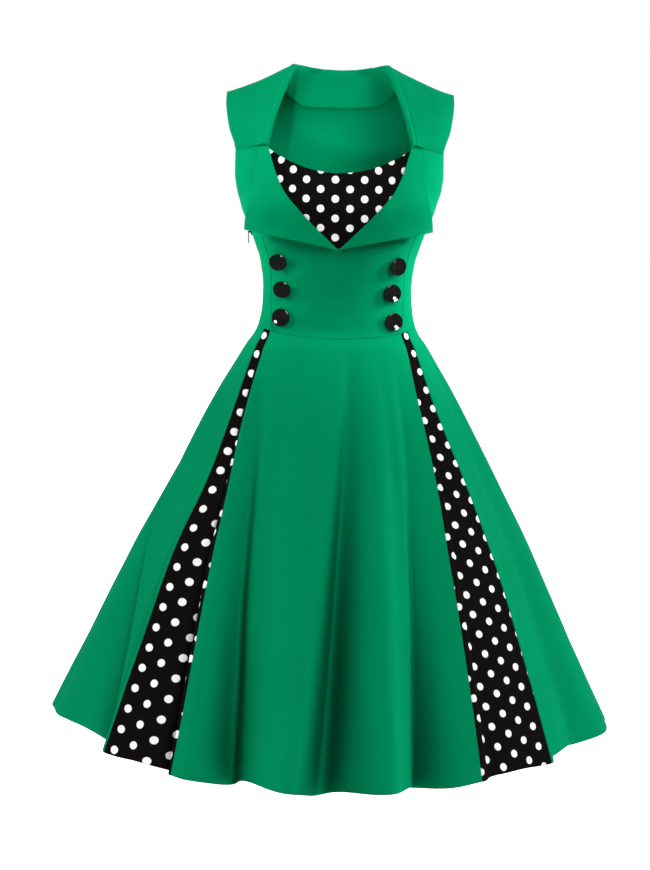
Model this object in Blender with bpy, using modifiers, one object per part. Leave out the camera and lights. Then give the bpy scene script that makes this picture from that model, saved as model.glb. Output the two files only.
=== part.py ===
"""A sleeveless swing dress in its worn, hollow form, built as the pieces it is sewn from.

Metres, +Z up. The origin is the middle of the shoulder line, where the wearer's shoulders hold
the dress. The front faces -Y and +X is the wearer's left. Turns go round the body from the
centre front, towards the wearer's left.
"""

import math
from collections import namedtuple

import bmesh
import bpy
from mathutils import Vector

CLOTH = 0.0016            # one layer of the dress cloth with its seam finish
TURNED_CLOTH = 0.0026     # collar and lapels: two layers with a stiffener between them
SEAM_GAP = 0.0003         # between the solids of two pieces that are sewn together

# ---------------------------------------------------------------- the worn form

FormRow = namedtuple("FormRow", "height half_width front back squareness")

# Level sections of the body of the dress, from the shoulder line down to the hem.
# A row's place in this list is its level: 0 is the shoulder line, where front and back meet.
FORM = [
    FormRow(0.004, 0.173, 0.000, 0.000, 2.8),
    FormRow(0.000, 0.173, 0.020, 0.038, 2.8),
    FormRow(-0.012, 0.173, 0.038, 0.064, 2.8),
    FormRow(-0.030, 0.171, 0.058, 0.083, 2.8),
    FormRow(-0.055, 0.166, 0.078, 0.095, 2.8),
    FormRow(-0.080, 0.161, 0.092, 0.100, 2.7),
    FormRow(-0.120, 0.157, 0.112, 0.101, 2.6),
    FormRow(-0.165, 0.145, 0.126, 0.100, 2.5),
    FormRow(-0.205, 0.129, 0.117, 0.096, 2.5),
    FormRow(-0.250, 0.115, 0.101, 0.090, 2.5),
    FormRow(-0.297, 0.111, 0.093, 0.086, 2.5),
    FormRow(-0.345, 0.119, 0.095, 0.088, 2.3),
    FormRow(-0.372, 0.136, 0.109, 0.101, 2.2),
    FormRow(-0.400, 0.153, 0.123, 0.115, 2.1),
    FormRow(-0.440, 0.177, 0.142, 0.134, 2.0),
    FormRow(-0.500, 0.210, 0.167, 0.159, 2.0),
    FormRow(-0.580, 0.252, 0.201, 0.191, 2.0),
    FormRow(-0.680, 0.303, 0.241, 0.231, 2.0),
    FormRow(-0.800, 0.358, 0.285, 0.274, 2.0),
    FormRow(-0.960, 0.433, 0.344, 0.332, 2.0),
]
CHEST_LEVEL = 5           # above this level the shoulders slope and close over
SHOULDER_FORWARD = 0.005  # the shoulder line lies a little behind the origin plane
SHOULDER_RISE = 0.0168    # rise of the shoulder slope at the neck side
SHOULDER_FALL = 0.879     # how fast it falls towards the arm, per metre, times x squared

WAIST_SIDE = -0.343       # height of the waist seam at the side seams and the back
WAIST_DIP = 0.014         # how much lower it is at the centre front
WAIST_HALF_WIDTH = 0.120
HEM_SIDE = -0.944
HEM_DIP = 0.018           # how much lower the hem hangs at the centre front


def curve(points, position):
    """Value of a smooth curve through (position, value) points, held flat past its ends."""
    rising = points[-1][0] > points[0][0]
    ordered = points if rising else points[::-1]
    if position <= ordered[0][0]:
        return ordered[0][1]
    if position >= ordered[-1][0]:
        return ordered[-1][1]
    last = len(ordered) - 1
    index = max(i for i in range(last) if ordered[i][0] <= position)
    slopes = [
        (ordered[i + 1][1] - ordered[i][1]) / (ordered[i + 1][0] - ordered[i][0])
        for i in range(last)
    ]
    slope_in = slopes[index] if index == 0 else (slopes[index - 1] + slopes[index]) / 2
    slope_out = slopes[index] if index == last - 1 else (slopes[index] + slopes[index + 1]) / 2
    span = ordered[index + 1][0] - ordered[index][0]
    part = (position - ordered[index][0]) / span
    low = ordered[index][1]
    high = ordered[index + 1][1]
    return (
        low * (1 + 2 * part) * (1 - part) ** 2
        + slope_in * span * part * (1 - part) ** 2
        + high * part**2 * (3 - 2 * part)
        + slope_out * span * part**2 * (part - 1)
    )


def form_row(level):
    """The section at a level, on a smooth curve through the table's rows."""
    last = len(FORM) - 1
    level = min(max(level, 0.0), float(last))
    index = min(int(level), last - 1)
    part = level - index
    before = FORM[max(index - 1, 0)]
    low = FORM[index]
    high = FORM[index + 1]
    after = FORM[min(index + 2, last)]
    even_in = 1.0 if index == 0 else 0.5
    even_out = 1.0 if index == last - 1 else 0.5
    columns = []
    for a, b, c, d in zip(before, low, high, after):
        slope_in = (c - a) * even_in
        slope_out = (d - b) * even_out
        columns.append(
            b * (1 + 2 * part) * (1 - part) ** 2
            + slope_in * part * (1 - part) ** 2
            + c * part**2 * (3 - 2 * part)
            + slope_out * part**2 * (part - 1)
        )
    return FormRow(*columns)


def level_of(height):
    """The level at which the form reaches a height, below the shoulder line."""
    index = 0
    while index < len(FORM) - 2 and FORM[index + 1].height > height:
        index += 1
    high = float(index)
    low = float(index + 1)
    for _ in range(22):
        middle = (high + low) / 2
        if form_row(middle).height > height:
            high = middle
        else:
            low = middle
    return (high + low) / 2


def keep_sign(value, power):
    return math.copysign(abs(value) ** power, value)


def torso_point(turn, level):
    """Point of the worn form at a turn round the body and a level."""
    row = form_row(level)
    round_off = 2 / row.squareness
    facing = math.cos(turn)
    depth = row.front if facing > 0 else row.back
    slope = max(0.0, 1 - level / CHEST_LEVEL)
    x = row.half_width * keep_sign(math.sin(turn), round_off)
    y = SHOULDER_FORWARD * slope - depth * keep_sign(facing, round_off)
    z = row.height + slope**2 * (SHOULDER_RISE - SHOULDER_FALL * x * x)
    return Vector((x, y, z))


def turn_at(x, level, behind=False):
    """The turn at which the form's section at a level is x wide."""
    row = form_row(level)
    share = min(1.0, abs(x) / row.half_width)
    turn = math.copysign(math.asin(share ** (row.squareness / 2)), x)
    return math.copysign(math.pi, x) - turn if behind else turn


def normal_of(surface, first, second, step_first, step_second):
    """Unit normal of a surface function, from points a small step either side."""
    along = surface(first + step_first, second) - surface(first - step_first, second)
    down = surface(first, second + step_second) - surface(first, second - step_second)
    return along.cross(down).normalized()


def torso_normal(turn, level):
    """Outward normal of the worn form, straight up from the shoulder line on front and back."""
    if level <= 0:
        slope = 2 * SHOULDER_FALL * torso_point(turn, 0.0).x
        return Vector((slope, 0.0, 1.0)).normalized()
    return -normal_of(torso_point, turn, max(level, 0.02), 0.004, 0.01)


def front_point(x, height, lift=0.0, widen=0.0):
    """Point of the front at an x and a height, or of a form lift deeper and widen wider."""
    row = form_row(level_of(height))
    share = min(1.0, abs(x) / (row.half_width + widen))
    depth = (row.front + lift) * (1 - share**row.squareness) ** (1 / row.squareness)
    return Vector((x, -depth, height))


def waist_height(x, front):
    """Height of the waist seam, which dips towards the centre front."""
    if not front:
        return WAIST_SIDE
    return WAIST_SIDE - WAIST_DIP * max(0.0, 1 - (x / WAIST_HALF_WIDTH) ** 2)


# ---------------------------------------------------------------- walls of cloth


def steps(first, last, count):
    """Count + 1 even steps from first to last."""
    return [first + (last - first) * i / count for i in range(count + 1)]


def pull_in(grid, edges):
    """Move the named edges of a grid of points half a seam gap inwards."""
    half = SEAM_GAP / 2
    moved = [list(row) for row in grid]
    if "start" in edges:
        moved[0] = [a + (b - a).normalized() * half for a, b in zip(grid[0], grid[1])]
    if "end" in edges:
        moved[-1] = [a + (b - a).normalized() * half for a, b in zip(grid[-1], grid[-2])]
    for row in moved:
        first = row[0] + (row[1] - row[0]).normalized() * half
        last = row[-1] + (row[-2] - row[-1]).normalized() * half
        if "first" in edges:
            row[0] = first
        if "last" in edges:
            row[-1] = last
    return moved


def wall(name, outer, inner, material, edges="start end first last"):
    """A closed wall of cloth between two grids of points with the same rows and columns."""
    mesh = bpy.data.meshes.new(name)
    shape = bmesh.new()
    faces = [
        [[shape.verts.new(point) for point in row] for row in pull_in(grid, edges)]
        for grid in (outer, inner)
    ]
    rows = len(outer)
    columns = len(outer[0])
    for face in faces:
        for i in range(rows - 1):
            for j in range(columns - 1):
                shape.faces.new((face[i][j], face[i][j + 1], face[i + 1][j + 1], face[i + 1][j]))
    rim = [(0, j) for j in range(columns)]
    rim += [(i, columns - 1) for i in range(1, rows)]
    rim += [(rows - 1, j) for j in range(columns - 2, -1, -1)]
    rim += [(i, 0) for i in range(rows - 2, 0, -1)]
    for (i, j), (k, m) in zip(rim, rim[1:] + rim[:1]):
        shape.faces.new((faces[0][i][j], faces[1][i][j], faces[1][k][m], faces[0][k][m]))
    bmesh.ops.recalc_face_normals(shape, faces=shape.faces)
    shape.to_mesh(mesh)
    shape.free()
    return place(bpy.data.objects.new(name, mesh), material)


def place(item, material):
    """Put an object in the dress with its material, its round faces shaded smooth."""
    item.data.materials.append(material)
    if item.type == "MESH":
        item.data.shade_smooth()
        item.data.set_sharp_from_angle(angle=math.radians(35))
    dress.objects.link(item)
    return item


def torso_wall(name, places, material, edges="start end first last"):
    """A panel of the bodice from a grid of (turn, level) places on the form."""
    outer = [[torso_point(*spot) for spot in row] for row in places]
    inner = [
        [point - torso_normal(*spot) * CLOTH for point, spot in zip(points, row)]
        for points, row in zip(outer, places)
    ]
    return wall(name, outer, inner, material, edges)


def grid_normals(grid):
    """A unit normal for each point of a grid, from its neighbours."""
    last_row = len(grid) - 1
    last_column = len(grid[0]) - 1
    normals = []
    for i, row in enumerate(grid):
        line = []
        for j in range(len(row)):
            along = grid[i][min(j + 1, last_column)] - grid[i][max(j - 1, 0)]
            down = grid[min(i + 1, last_row)][j] - grid[max(i - 1, 0)][j]
            line.append(along.cross(down).normalized())
        normals.append(line)
    return normals


def turned_wall(name, middle, material, edges):
    """A wall of turned cloth, half its thickness either side of a grid of points."""
    half = TURNED_CLOTH / 2
    normals = grid_normals(middle)
    sides = [
        [[point + n * way for point, n in zip(*pair)] for pair in zip(middle, normals)]
        for way in (half, -half)
    ]
    return wall(name, sides[0], sides[1], material, edges)


def material(name, colour, roughness, metallic=0.0):
    """A Principled BSDF with a linear colour."""
    made = bpy.data.materials.new(name)
    made.use_nodes = True
    shader = made.node_tree.nodes["Principled BSDF"]
    shader.inputs["Base Color"].default_value = (*colour, 1.0)
    shader.inputs["Roughness"].default_value = roughness
    shader.inputs["Metallic"].default_value = metallic
    return made


# ---------------------------------------------------------------- the scene

for old in list(bpy.data.objects):
    bpy.data.objects.remove(old, do_unlink=True)

dress = bpy.data.collections.new("a_line_dress")
cutters = bpy.data.collections.new("cutters")
bpy.context.scene.collection.children.link(dress)
bpy.context.scene.collection.children.link(cutters)

green_cotton = material("green_cotton_sateen", (0.0, 0.31, 0.125), 0.62)
dotted_cotton = material("dotted_black_cotton", (0.012, 0.010, 0.011), 0.6)
black_resin = material("black_polyester_button", (0.008, 0.006, 0.006), 0.12)
zip_metal = material("green_lacquered_zinc", (0.02, 0.12, 0.06), 0.4, 0.6)

# ---------------------------------------------------------------- bodice

BUST_SEAM = -0.197        # height of the seam between the midriff and the upper fronts
UNDERARM = -0.147         # lowest point of the armhole
V_POINT = -0.226          # where the two lapels meet

# Half widths of the seams and edges of the front, by height.
PRINCESS_SEAM = [
    (0.004, 0.126), (-0.060, 0.124), (-0.110, 0.123), (-0.165, 0.119), (-0.210, 0.1105),
    (-0.232, 0.103), (-0.262, 0.098), (-0.295, 0.0965), (-0.325, 0.096), (-0.357, 0.095),
]
INSERT_EDGE = [
    (-0.078, 0.1085), (-0.109, 0.100), (-0.145, 0.084), (-0.174, 0.058), (-0.198, 0.035),
    (-0.215, 0.016), (-0.226, 0.001),
]
NECK_EDGE = [(0.004, 0.088), (0.000, 0.090), (-0.012, 0.094), (-0.040, 0.101), (-0.078, 0.1085)]
ARMHOLE_EDGE = [
    (0.004, 0.168), (0.000, 0.1655), (-0.012, 0.1625), (-0.030, 0.1595), (-0.055, 0.156),
    (-0.080, 0.154), (-0.105, 0.154), (-0.120, 0.1535), (-0.135, 0.1515),
]
INSERT_DIP = 0.037         # how far the insert's top edge dips below its corners
INSERT_LAP = 0.008         # how far the insert runs on behind the pieces around it
INSERT_GAP = 0.0013        # between the insert and the pieces in front of it
NECK_TOP_BACK = 2.45       # level of the neck seam at the centre back

# The neck seam's corner on the shoulder line, as a share of the way to the arm's edge.
NECK_CORNER = turn_at(NECK_EDGE[0][1], 0.0) / turn_at(ARMHOLE_EDGE[0][1], 0.0)

CollarRow = namedtuple("CollarRow", "neck edge_x edge_level roll_x roll_y roll_z")

# Half the collar, from its front end back to the shoulder line. Each row runs from the neck seam
# up to the roll line and over it, then down the fall to the outer edge. Its neck is the height
# of its place on the neck seam.
COLLAR_FRONT = [
    CollarRow(-0.078, 0.1480, level_of(-0.088), 0.1070, -0.087, -0.073),
    CollarRow(-0.062, 0.1500, level_of(-0.072), 0.1030, -0.079, -0.057),
    CollarRow(-0.046, 0.1520, level_of(-0.056), 0.0985, -0.070, -0.041),
    CollarRow(-0.033, 0.1550, level_of(-0.041), 0.0940, -0.059, -0.026),
    CollarRow(-0.020, 0.1580, level_of(-0.026), 0.0890, -0.047, -0.010),
    CollarRow(-0.008, 0.1615, level_of(-0.012), 0.0825, -0.030, 0.009),
    CollarRow(0.002, 0.1650, 0.80, 0.0760, -0.011, 0.029),
    CollarRow(0.004, 0.1685, 0.00, 0.0700, 0.005, 0.043),
]
# The other half, behind the shoulder line. Here a row's neck is its share of the way from the
# centre back to the neck seam's corner.
COLLAR_BACK = [
    CollarRow(0.990, 0.1660, 0.70, 0.0690, 0.017, 0.045),
    CollarRow(0.942, 0.1625, 1.60, 0.0665, 0.029, 0.046),
    CollarRow(0.858, 0.1590, 2.70, 0.0620, 0.040, 0.046),
    CollarRow(0.752, 0.1560, 3.80, 0.0545, 0.049, 0.045),
    CollarRow(0.629, 0.1500, level_of(-0.088), 0.0440, 0.056, 0.0435),
    CollarRow(0.555, 0.1330, level_of(-0.093), 0.0380, 0.0587, 0.0427),
    CollarRow(0.487, 0.1100, level_of(-0.096), 0.0315, 0.061, 0.042),
    CollarRow(0.300, 0.0560, level_of(-0.100), 0.0160, 0.0645, 0.041),
    CollarRow(0.000, 0.0000, level_of(-0.101), 0.0000, 0.066, 0.040),
]

# The heights at which every bodice panel has a row of points, above the waist seam.
MIDRIFF_HEIGHTS = [-0.325, -0.297, -0.270, -0.245, -0.220]
CUP_HEIGHTS = [-0.181, -0.165, UNDERARM, -0.135, -0.120, -0.100]
SHOULDER_LEVELS = [5.0, 4.0, 3.0, 2.0, 1.0, 0.35, 0.0]


def waist_place(turn):
    """The (turn, level) of the waist seam at a turn."""
    level = level_of(WAIST_SIDE)
    for _ in range(4):
        x = torso_point(turn, level).x
        level = level_of(waist_height(x, math.cos(turn) > 0))
    return (turn, level)


def waist_turn(x):
    """The turn at which the waist seam is x from the centre front."""
    return turn_at(x, level_of(waist_height(x, True)))


def midriff_top(x):
    """Height of the midriff's top seam: level under the lapels, with a notch at the V point."""
    return min(BUST_SEAM, V_POINT - SEAM_GAP + abs(x) * (BUST_SEAM - V_POINT) / 0.034)


def princess_place(height):
    level = level_of(height)
    return (turn_at(curve(PRINCESS_SEAM, height), level), level)


def across(left, right, count):
    """A row of places from one (turn, level) to another."""
    return list(zip(steps(left[0], right[0], count), steps(left[1], right[1], count)))


def midriff_places():
    """Centre panel below the bust, from the waist seam up to its notched top seam."""
    columns = steps(-1.0, 1.0, 20)
    half = waist_turn(curve(PRINCESS_SEAM, WAIST_SIDE - WAIST_DIP))
    rows = [[waist_place(column * half) for column in columns]]
    fixed = MIDRIFF_HEIGHTS[:-1]
    for height in fixed:
        turn, level = princess_place(height)
        rows.append([(column * turn, level) for column in columns])
    for height in (MIDRIFF_HEIGHTS[-1], BUST_SEAM):
        share = (height - fixed[-1]) / (BUST_SEAM - fixed[-1])
        row = []
        for column in columns:
            x = column * curve(PRINCESS_SEAM, height)
            top = fixed[-1] + share * (midriff_top(x) - fixed[-1])
            level = level_of(top)
            row.append((turn_at(x, level), level))
        rows.append(row)
    return rows


def arm_place(level, behind=False):
    """Place on the side seam below the underarm, and on the armhole's edge above it."""
    height = form_row(level).height
    if height < UNDERARM + 0.0005:
        return (math.pi / 2, level)
    return (turn_at(curve(ARMHOLE_EDGE, height), level, behind), level)


def upper_levels():
    return [level_of(height) for height in CUP_HEIGHTS] + SHOULDER_LEVELS


def front_places():
    """Upper centre front, from the bust seam to the shoulder."""
    rows = []
    for level in [level_of(BUST_SEAM)] + upper_levels():
        height = form_row(level).height
        edge = INSERT_EDGE if height < NECK_EDGE[-1][0] else NECK_EDGE
        inner = (turn_at(curve(edge, height) + SEAM_GAP / 2, level), level)
        outer = (turn_at(curve(PRINCESS_SEAM, height), level), level)
        rows.append(across(inner, outer, 5))
    return rows


def side_front_places():
    """Princess side panel, from the waist seam to the shoulder."""
    count = 6
    waist = waist_turn(curve(PRINCESS_SEAM, WAIST_SIDE - WAIST_DIP))
    rows = [[waist_place(turn) for turn in steps(waist, math.pi / 2, count)]]
    heights = MIDRIFF_HEIGHTS + [BUST_SEAM]
    for level in [level_of(height) for height in heights] + upper_levels():
        inner = (turn_at(curve(PRINCESS_SEAM, form_row(level).height), level), level)
        rows.append(across(inner, arm_place(level), count))
    return rows


def back_neck_level(share):
    """Level of the back's top edge at a share of the way out to the neck's corner."""
    return NECK_TOP_BACK * math.sqrt(max(0.0, 1 - min(1.0, abs(share)) ** 4))


def back_place(column, level):
    """Place on the back: column 0 is the centre, 1 the arm's edge, and level 0 the top edge."""
    top = back_neck_level(column / NECK_CORNER)
    here = level
    if level < CHEST_LEVEL:
        here = top + level * (CHEST_LEVEL - top) / CHEST_LEVEL
    arm_turn = math.pi - arm_place(here, behind=True)[0]
    return (math.pi - column * arm_turn, here)


def back_places():
    """The whole back, from the waist seam to the neck seam and the shoulders."""
    half = [NECK_CORNER * row.neck for row in COLLAR_BACK[::-1]]
    half += steps(NECK_CORNER, 1.0, 5)
    columns = [-share for share in half[:0:-1]] + half
    levels = [level_of(height) for height in MIDRIFF_HEIGHTS + [BUST_SEAM]] + upper_levels()
    rows = [[waist_place(math.pi - column * math.pi / 2) for column in columns]]
    rows += [[back_place(column, level) for column in columns] for level in levels]
    return rows


def insert_grid():
    """The dotted insert behind the V, in rows that sag more and more towards its top edge."""
    depth = CLOTH + INSERT_GAP
    bottom = INSERT_EDGE[-1][0] - INSERT_LAP
    top = INSERT_EDGE[0][0]
    rows = []
    for share in (0.0, 0.08, 0.18, 0.3, 0.42, 0.55, 0.7, 0.85, 1.0):
        height = bottom + (top - bottom) * share
        half = curve(INSERT_EDGE, height) + INSERT_LAP
        sag = INSERT_DIP * share**1.5
        row = []
        for column in steps(-1.0, 1.0, 14):
            place_height = height - sag * (1 - abs(column) ** 2.5)
            level = level_of(place_height)
            turn = turn_at(column * half, level)
            row.append(torso_point(turn, level) - torso_normal(turn, level) * depth)
        rows.append(row)
    return rows


def mirrored(places):
    return [[(-turn, level) for turn, level in row] for row in places]


torso_wall("midriff_front", midriff_places(), green_cotton)
torso_wall("front_left", front_places(), green_cotton, "start end last")
torso_wall("front_right", mirrored(front_places()), green_cotton, "start end last")
torso_wall("side_front_left", side_front_places(), green_cotton)
torso_wall("side_front_right", mirrored(side_front_places()), green_cotton)
torso_wall("bodice_back", back_places(), green_cotton)

insert_outer = insert_grid()
insert_inner = [[point + Vector((0, CLOTH, 0)) for point in row] for row in insert_outer]
wall("front_insert", insert_outer, insert_inner, dotted_cotton, "")

# ---------------------------------------------------------------- collar and lapels

COLLAR_EASE = 0.0058      # how far the collar's fall lies off the shoulders
ROLL_RADIUS = 0.0035      # of the collar's fold
NECK_SEAM_RISE = 0.0007   # from the back's top edge to the foot of the collar's stand
FALL_SHARES = (0.06, 0.14, 0.25, 0.38, 0.52, 0.68, 0.84, 1.0)


def collar_path(row, behind):
    """The line of one collar row, from the neck seam over the roll to the outer edge."""
    if behind:
        neck_turn, neck_level = back_place(NECK_CORNER * row.neck, 0.0)
    else:
        neck_level = level_of(row.neck)
        neck_turn = turn_at(curve(NECK_EDGE, row.neck), neck_level)
    edge_turn = turn_at(row.edge_x, row.edge_level, behind)
    neck = torso_point(neck_turn, neck_level)
    edge = torso_point(edge_turn, row.edge_level)
    neck_normal = torso_normal(neck_turn, neck_level)
    roll = Vector((row.roll_x, row.roll_y, row.roll_z))
    rise = (roll - neck).normalized()
    start = NECK_SEAM_RISE
    if not behind:
        lean = rise.dot(neck_normal)
        corner = TURNED_CLOTH / 2 * math.sqrt(max(0.0, 1 - lean * lean))
        start = (2 * SEAM_GAP + corner) / lean
    out = (edge - roll) - (edge - roll).dot(rise) * rise
    out.normalize()
    centre = roll - rise * ROLL_RADIUS
    base = neck + rise * start
    line = [base, base.lerp(centre - out * ROLL_RADIUS, 0.5)]
    for angle in steps(180.0, 0.0, 4):
        spot = out * math.cos(math.radians(angle)) + rise * math.sin(math.radians(angle))
        line.append(centre + spot * ROLL_RADIUS)
    lift = line[-1] - neck - neck_normal * COLLAR_EASE
    for share in FALL_SHARES:
        turn = neck_turn + (edge_turn - neck_turn) * share
        level = neck_level + (row.edge_level - neck_level) * share
        spot = torso_point(turn, level) + torso_normal(turn, level) * COLLAR_EASE
        line.append(spot + lift * (1 - share) ** 3)
    return line


def flipped(line):
    return [Vector((-point.x, point.y, point.z)) for point in line]


half_collar = [collar_path(row, False) for row in COLLAR_FRONT]
half_collar += [collar_path(row, True) for row in COLLAR_BACK]
turned_wall(
    "collar", half_collar + [flipped(line) for line in half_collar[-2::-1]], green_cotton, ""
)

LapelRow = namedtuple("LapelRow", "inner_x inner_z outer_x outer_z")

# The left lapel, from its narrow top at the collar's end down to its bottom edge.
LAPEL = [
    LapelRow(0.1040, -0.0835, 0.1140, -0.0850),
    LapelRow(0.0965, -0.1030, 0.1200, -0.1040),
    LapelRow(0.0895, -0.1230, 0.1240, -0.1260),
    LapelRow(0.0780, -0.1450, 0.1285, -0.1500),
    LapelRow(0.0580, -0.1690, 0.1325, -0.1670),
    LapelRow(0.0330, -0.1950, 0.1355, -0.1830),
    LapelRow(0.0010, -0.2260, 0.1370, -0.1990),
]
LAPEL_LIFT = (0.0030, 0.0030)    # off the front at its top, and how much more lower down
LAPEL_SPREAD = 0.026             # how much wider than the body its outer edge stands
LAPEL_EASE_HEIGHT = 0.090        # over this height below its top it comes away from the body


def lapel_grid(side):
    rows = []
    for row in LAPEL:
        line = []
        for share in steps(0.0, 1.0, 9):
            x = row.inner_x + (row.outer_x - row.inner_x) * share
            z = row.inner_z + (row.outer_z - row.inner_z) * share
            away = min(1.0, max(0.0, (LAPEL[0].inner_z - z) / LAPEL_EASE_HEIGHT))
            away = away * away * (3 - 2 * away)
            lift = LAPEL_LIFT[0] + LAPEL_LIFT[1] * away
            point = front_point(x, z, lift, LAPEL_SPREAD * away)
            line.append(Vector((point.x * side, point.y, point.z)))
        rows.append(line)
    return rows


turned_wall("lapel_left", lapel_grid(1), green_cotton, "first")
turned_wall("lapel_right", lapel_grid(-1), green_cotton, "first")

# ---------------------------------------------------------------- skirt

SeamRow = namedtuple("SeamRow", "height gore_right front_right front_left gore_left")

# Turns, in degrees, of the seams either side of the front panel and of the two gores.
SKIRT_SEAMS = [
    SeamRow(-0.350, -66.2, -58.0, 55.5, 63.2),
    SeamRow(-0.380, -63.9, -55.6, 53.0, 61.0),
    SeamRow(-0.425, -61.5, -52.1, 50.3, 58.6),
    SeamRow(-0.490, -59.6, -48.0, 48.0, 57.5),
    SeamRow(-0.560, -58.5, -45.0, 45.5, 57.8),
    SeamRow(-0.650, -57.5, -42.4, 42.1, 57.3),
    SeamRow(-0.750, -57.0, -40.1, 39.9, 56.5),
    SeamRow(-0.850, -56.2, -38.2, 37.9, 55.2),
    SeamRow(-0.950, -55.4, -36.8, 35.9, 53.8),
]

FoldRow = namedtuple("FoldRow", "turn depth")

# The skirt's flutes at the hem: ridges stand out of the form and valleys go in.
FOLDS = [
    FoldRow(-180, 0.010), FoldRow(-169, -0.018), FoldRow(-157, 0.012), FoldRow(-146, -0.024),
    FoldRow(-134, 0.008), FoldRow(-122, -0.018), FoldRow(-110, 0.010), FoldRow(-99, -0.022),
    FoldRow(-84, 0.004), FoldRow(-66, -0.024), FoldRow(-59.5, -0.018), FoldRow(-55.4, 0.004),
    FoldRow(-46, -0.009), FoldRow(-40.5, -0.010), FoldRow(-36.8, 0.006), FoldRow(-33, 0.010),
    FoldRow(-22, -0.026), FoldRow(-8, 0.013), FoldRow(1, -0.010), FoldRow(12.5, 0.013),
    FoldRow(21.7, -0.018), FoldRow(31, 0.009), FoldRow(35.9, 0.005), FoldRow(40.5, -0.008),
    FoldRow(46, -0.008), FoldRow(53.8, 0.003), FoldRow(58, -0.014), FoldRow(65, -0.024),
    FoldRow(79, 0.004), FoldRow(98, -0.020), FoldRow(110, 0.010), FoldRow(121, -0.024),
    FoldRow(134, 0.010), FoldRow(146, -0.020), FoldRow(158, 0.012), FoldRow(169, -0.014),
    FoldRow(180, 0.010),
]
FOLD_GROWTH = 1.25        # how the flutes deepen from the waist to the hem
SKIRT_SHARES = (0.0, 0.035, 0.09, 0.16, 0.25, 0.35, 0.45, 0.55, 0.65, 0.75, 0.84, 0.92, 1.0)


def skirt_turn(label, height):
    """Turn at a height of the line that reaches the hem at the turn called label."""
    if label > 180:
        return skirt_turn(label - 360, height) + 360
    hem = SKIRT_SEAMS[-1]
    anchors = [(-180.0, -180.0), (-90.0, -90.0)]
    for name in ("gore_right", "front_right", "front_left", "gore_left"):
        seam = [(row.height, getattr(row, name)) for row in SKIRT_SEAMS]
        anchors.append((getattr(hem, name), curve(seam, height)))
        if name == "front_right":
            anchors.append((0.0, 0.0))
    anchors += [(90.0, 90.0), (180.0, 180.0)]
    for (low, low_turn), (high, high_turn) in zip(anchors, anchors[1:]):
        if label <= high:
            return low_turn + (high_turn - low_turn) * (label - low) / (high - low)
    return high_turn


def fold_depth(label):
    """Depth of the flutes at the hem at a turn, in smooth waves between the table's rows."""
    around = (label + 180) % 360 - 180
    for low, high in zip(FOLDS, FOLDS[1:]):
        if around <= high.turn:
            share = (around - low.turn) / (high.turn - low.turn)
            return low.depth + (high.depth - low.depth) * (1 - math.cos(math.pi * share)) / 2
    return FOLDS[-1].depth


def reach(turn, height):
    """How far the form's section at a height reaches in the direction of a turn."""
    row = form_row(level_of(height))
    facing = math.cos(turn)
    depth = row.front if facing > 0 else row.back
    across_part = abs(math.sin(turn) / row.half_width) ** row.squareness
    along_part = abs(facing / depth) ** row.squareness
    return (across_part + along_part) ** (-1 / row.squareness)


def skirt_point(label, share):
    """Point of the skirt on the line called label, at a share of the way down it."""
    top = WAIST_SIDE
    for _ in range(4):
        turn = math.radians(skirt_turn(label, top))
        top = waist_height(reach(turn, top) * math.sin(turn), math.cos(turn) > 0)
    hem_turn = math.radians(label)
    hem = HEM_SIDE - HEM_DIP * max(0.0, math.cos(hem_turn)) ** 2.5
    height = top + (hem - top) * share
    turn = math.radians(skirt_turn(label, height))
    radius = reach(turn, height) + fold_depth(label) * max(0.0, share) ** FOLD_GROWTH
    return Vector((radius * math.sin(turn), -radius * math.cos(turn), height))


def skirt_wall(name, first, last, count, material):
    """A skirt panel between the lines that reach the hem at two turns."""
    labels = steps(first, last, count)
    outer = [[skirt_point(label, share) for label in labels] for share in SKIRT_SHARES]
    inner = []
    for share, points in zip(SKIRT_SHARES, outer):
        middle = min(max(share, 0.005), 0.995)
        normals = [-normal_of(skirt_point, label, middle, 0.2, 0.004) for label in labels]
        inner.append([point + normal * CLOTH for point, normal in zip(points, normals)])
    return wall(name, outer, inner, material)


hem_seams = SKIRT_SEAMS[-1]
skirt_wall("skirt_front", hem_seams.front_right, hem_seams.front_left, 26, green_cotton)
skirt_wall("skirt_gore_right", hem_seams.gore_right, hem_seams.front_right, 8, dotted_cotton)
skirt_wall("skirt_gore_left", hem_seams.front_left, hem_seams.gore_left, 8, dotted_cotton)
skirt_wall("skirt_side_right", -90.0, hem_seams.gore_right, 12, green_cotton)
skirt_wall("skirt_side_left", hem_seams.gore_left, 90.0, 12, green_cotton)
skirt_wall("skirt_back_left", 90.0, 180.0, 28, green_cotton)
skirt_wall("skirt_back_right", 180.0, 270.0, 28, green_cotton)

# ---------------------------------------------------------------- buttons

ButtonRow = namedtuple("ButtonRow", "name x z")

BUTTONS = [
    ButtonRow("button_right_top", -0.086, -0.243),
    ButtonRow("button_right_middle", -0.080, -0.283),
    ButtonRow("button_right_low", -0.081, -0.327),
    ButtonRow("button_left_top", 0.084, -0.249),
    ButtonRow("button_left_middle", 0.078, -0.289),
    ButtonRow("button_left_low", 0.081, -0.331),
]
# Half section of a shank button, (radius, height above the cloth), from its centre over the rim.
BUTTON_SECTION = [
    (0.0, 0.0068), (0.0060, 0.0071), (0.0098, 0.0083), (0.0118, 0.0088), (0.0131, 0.0079),
    (0.0134, 0.0064), (0.0118, 0.0052), (0.0034, 0.0046), (0.0030, 0.0003), (0.0, 0.0003),
]
BUTTON_TURN_BACK = 0.55   # share of the cloth's tilt that a button on its shank takes up


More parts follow.
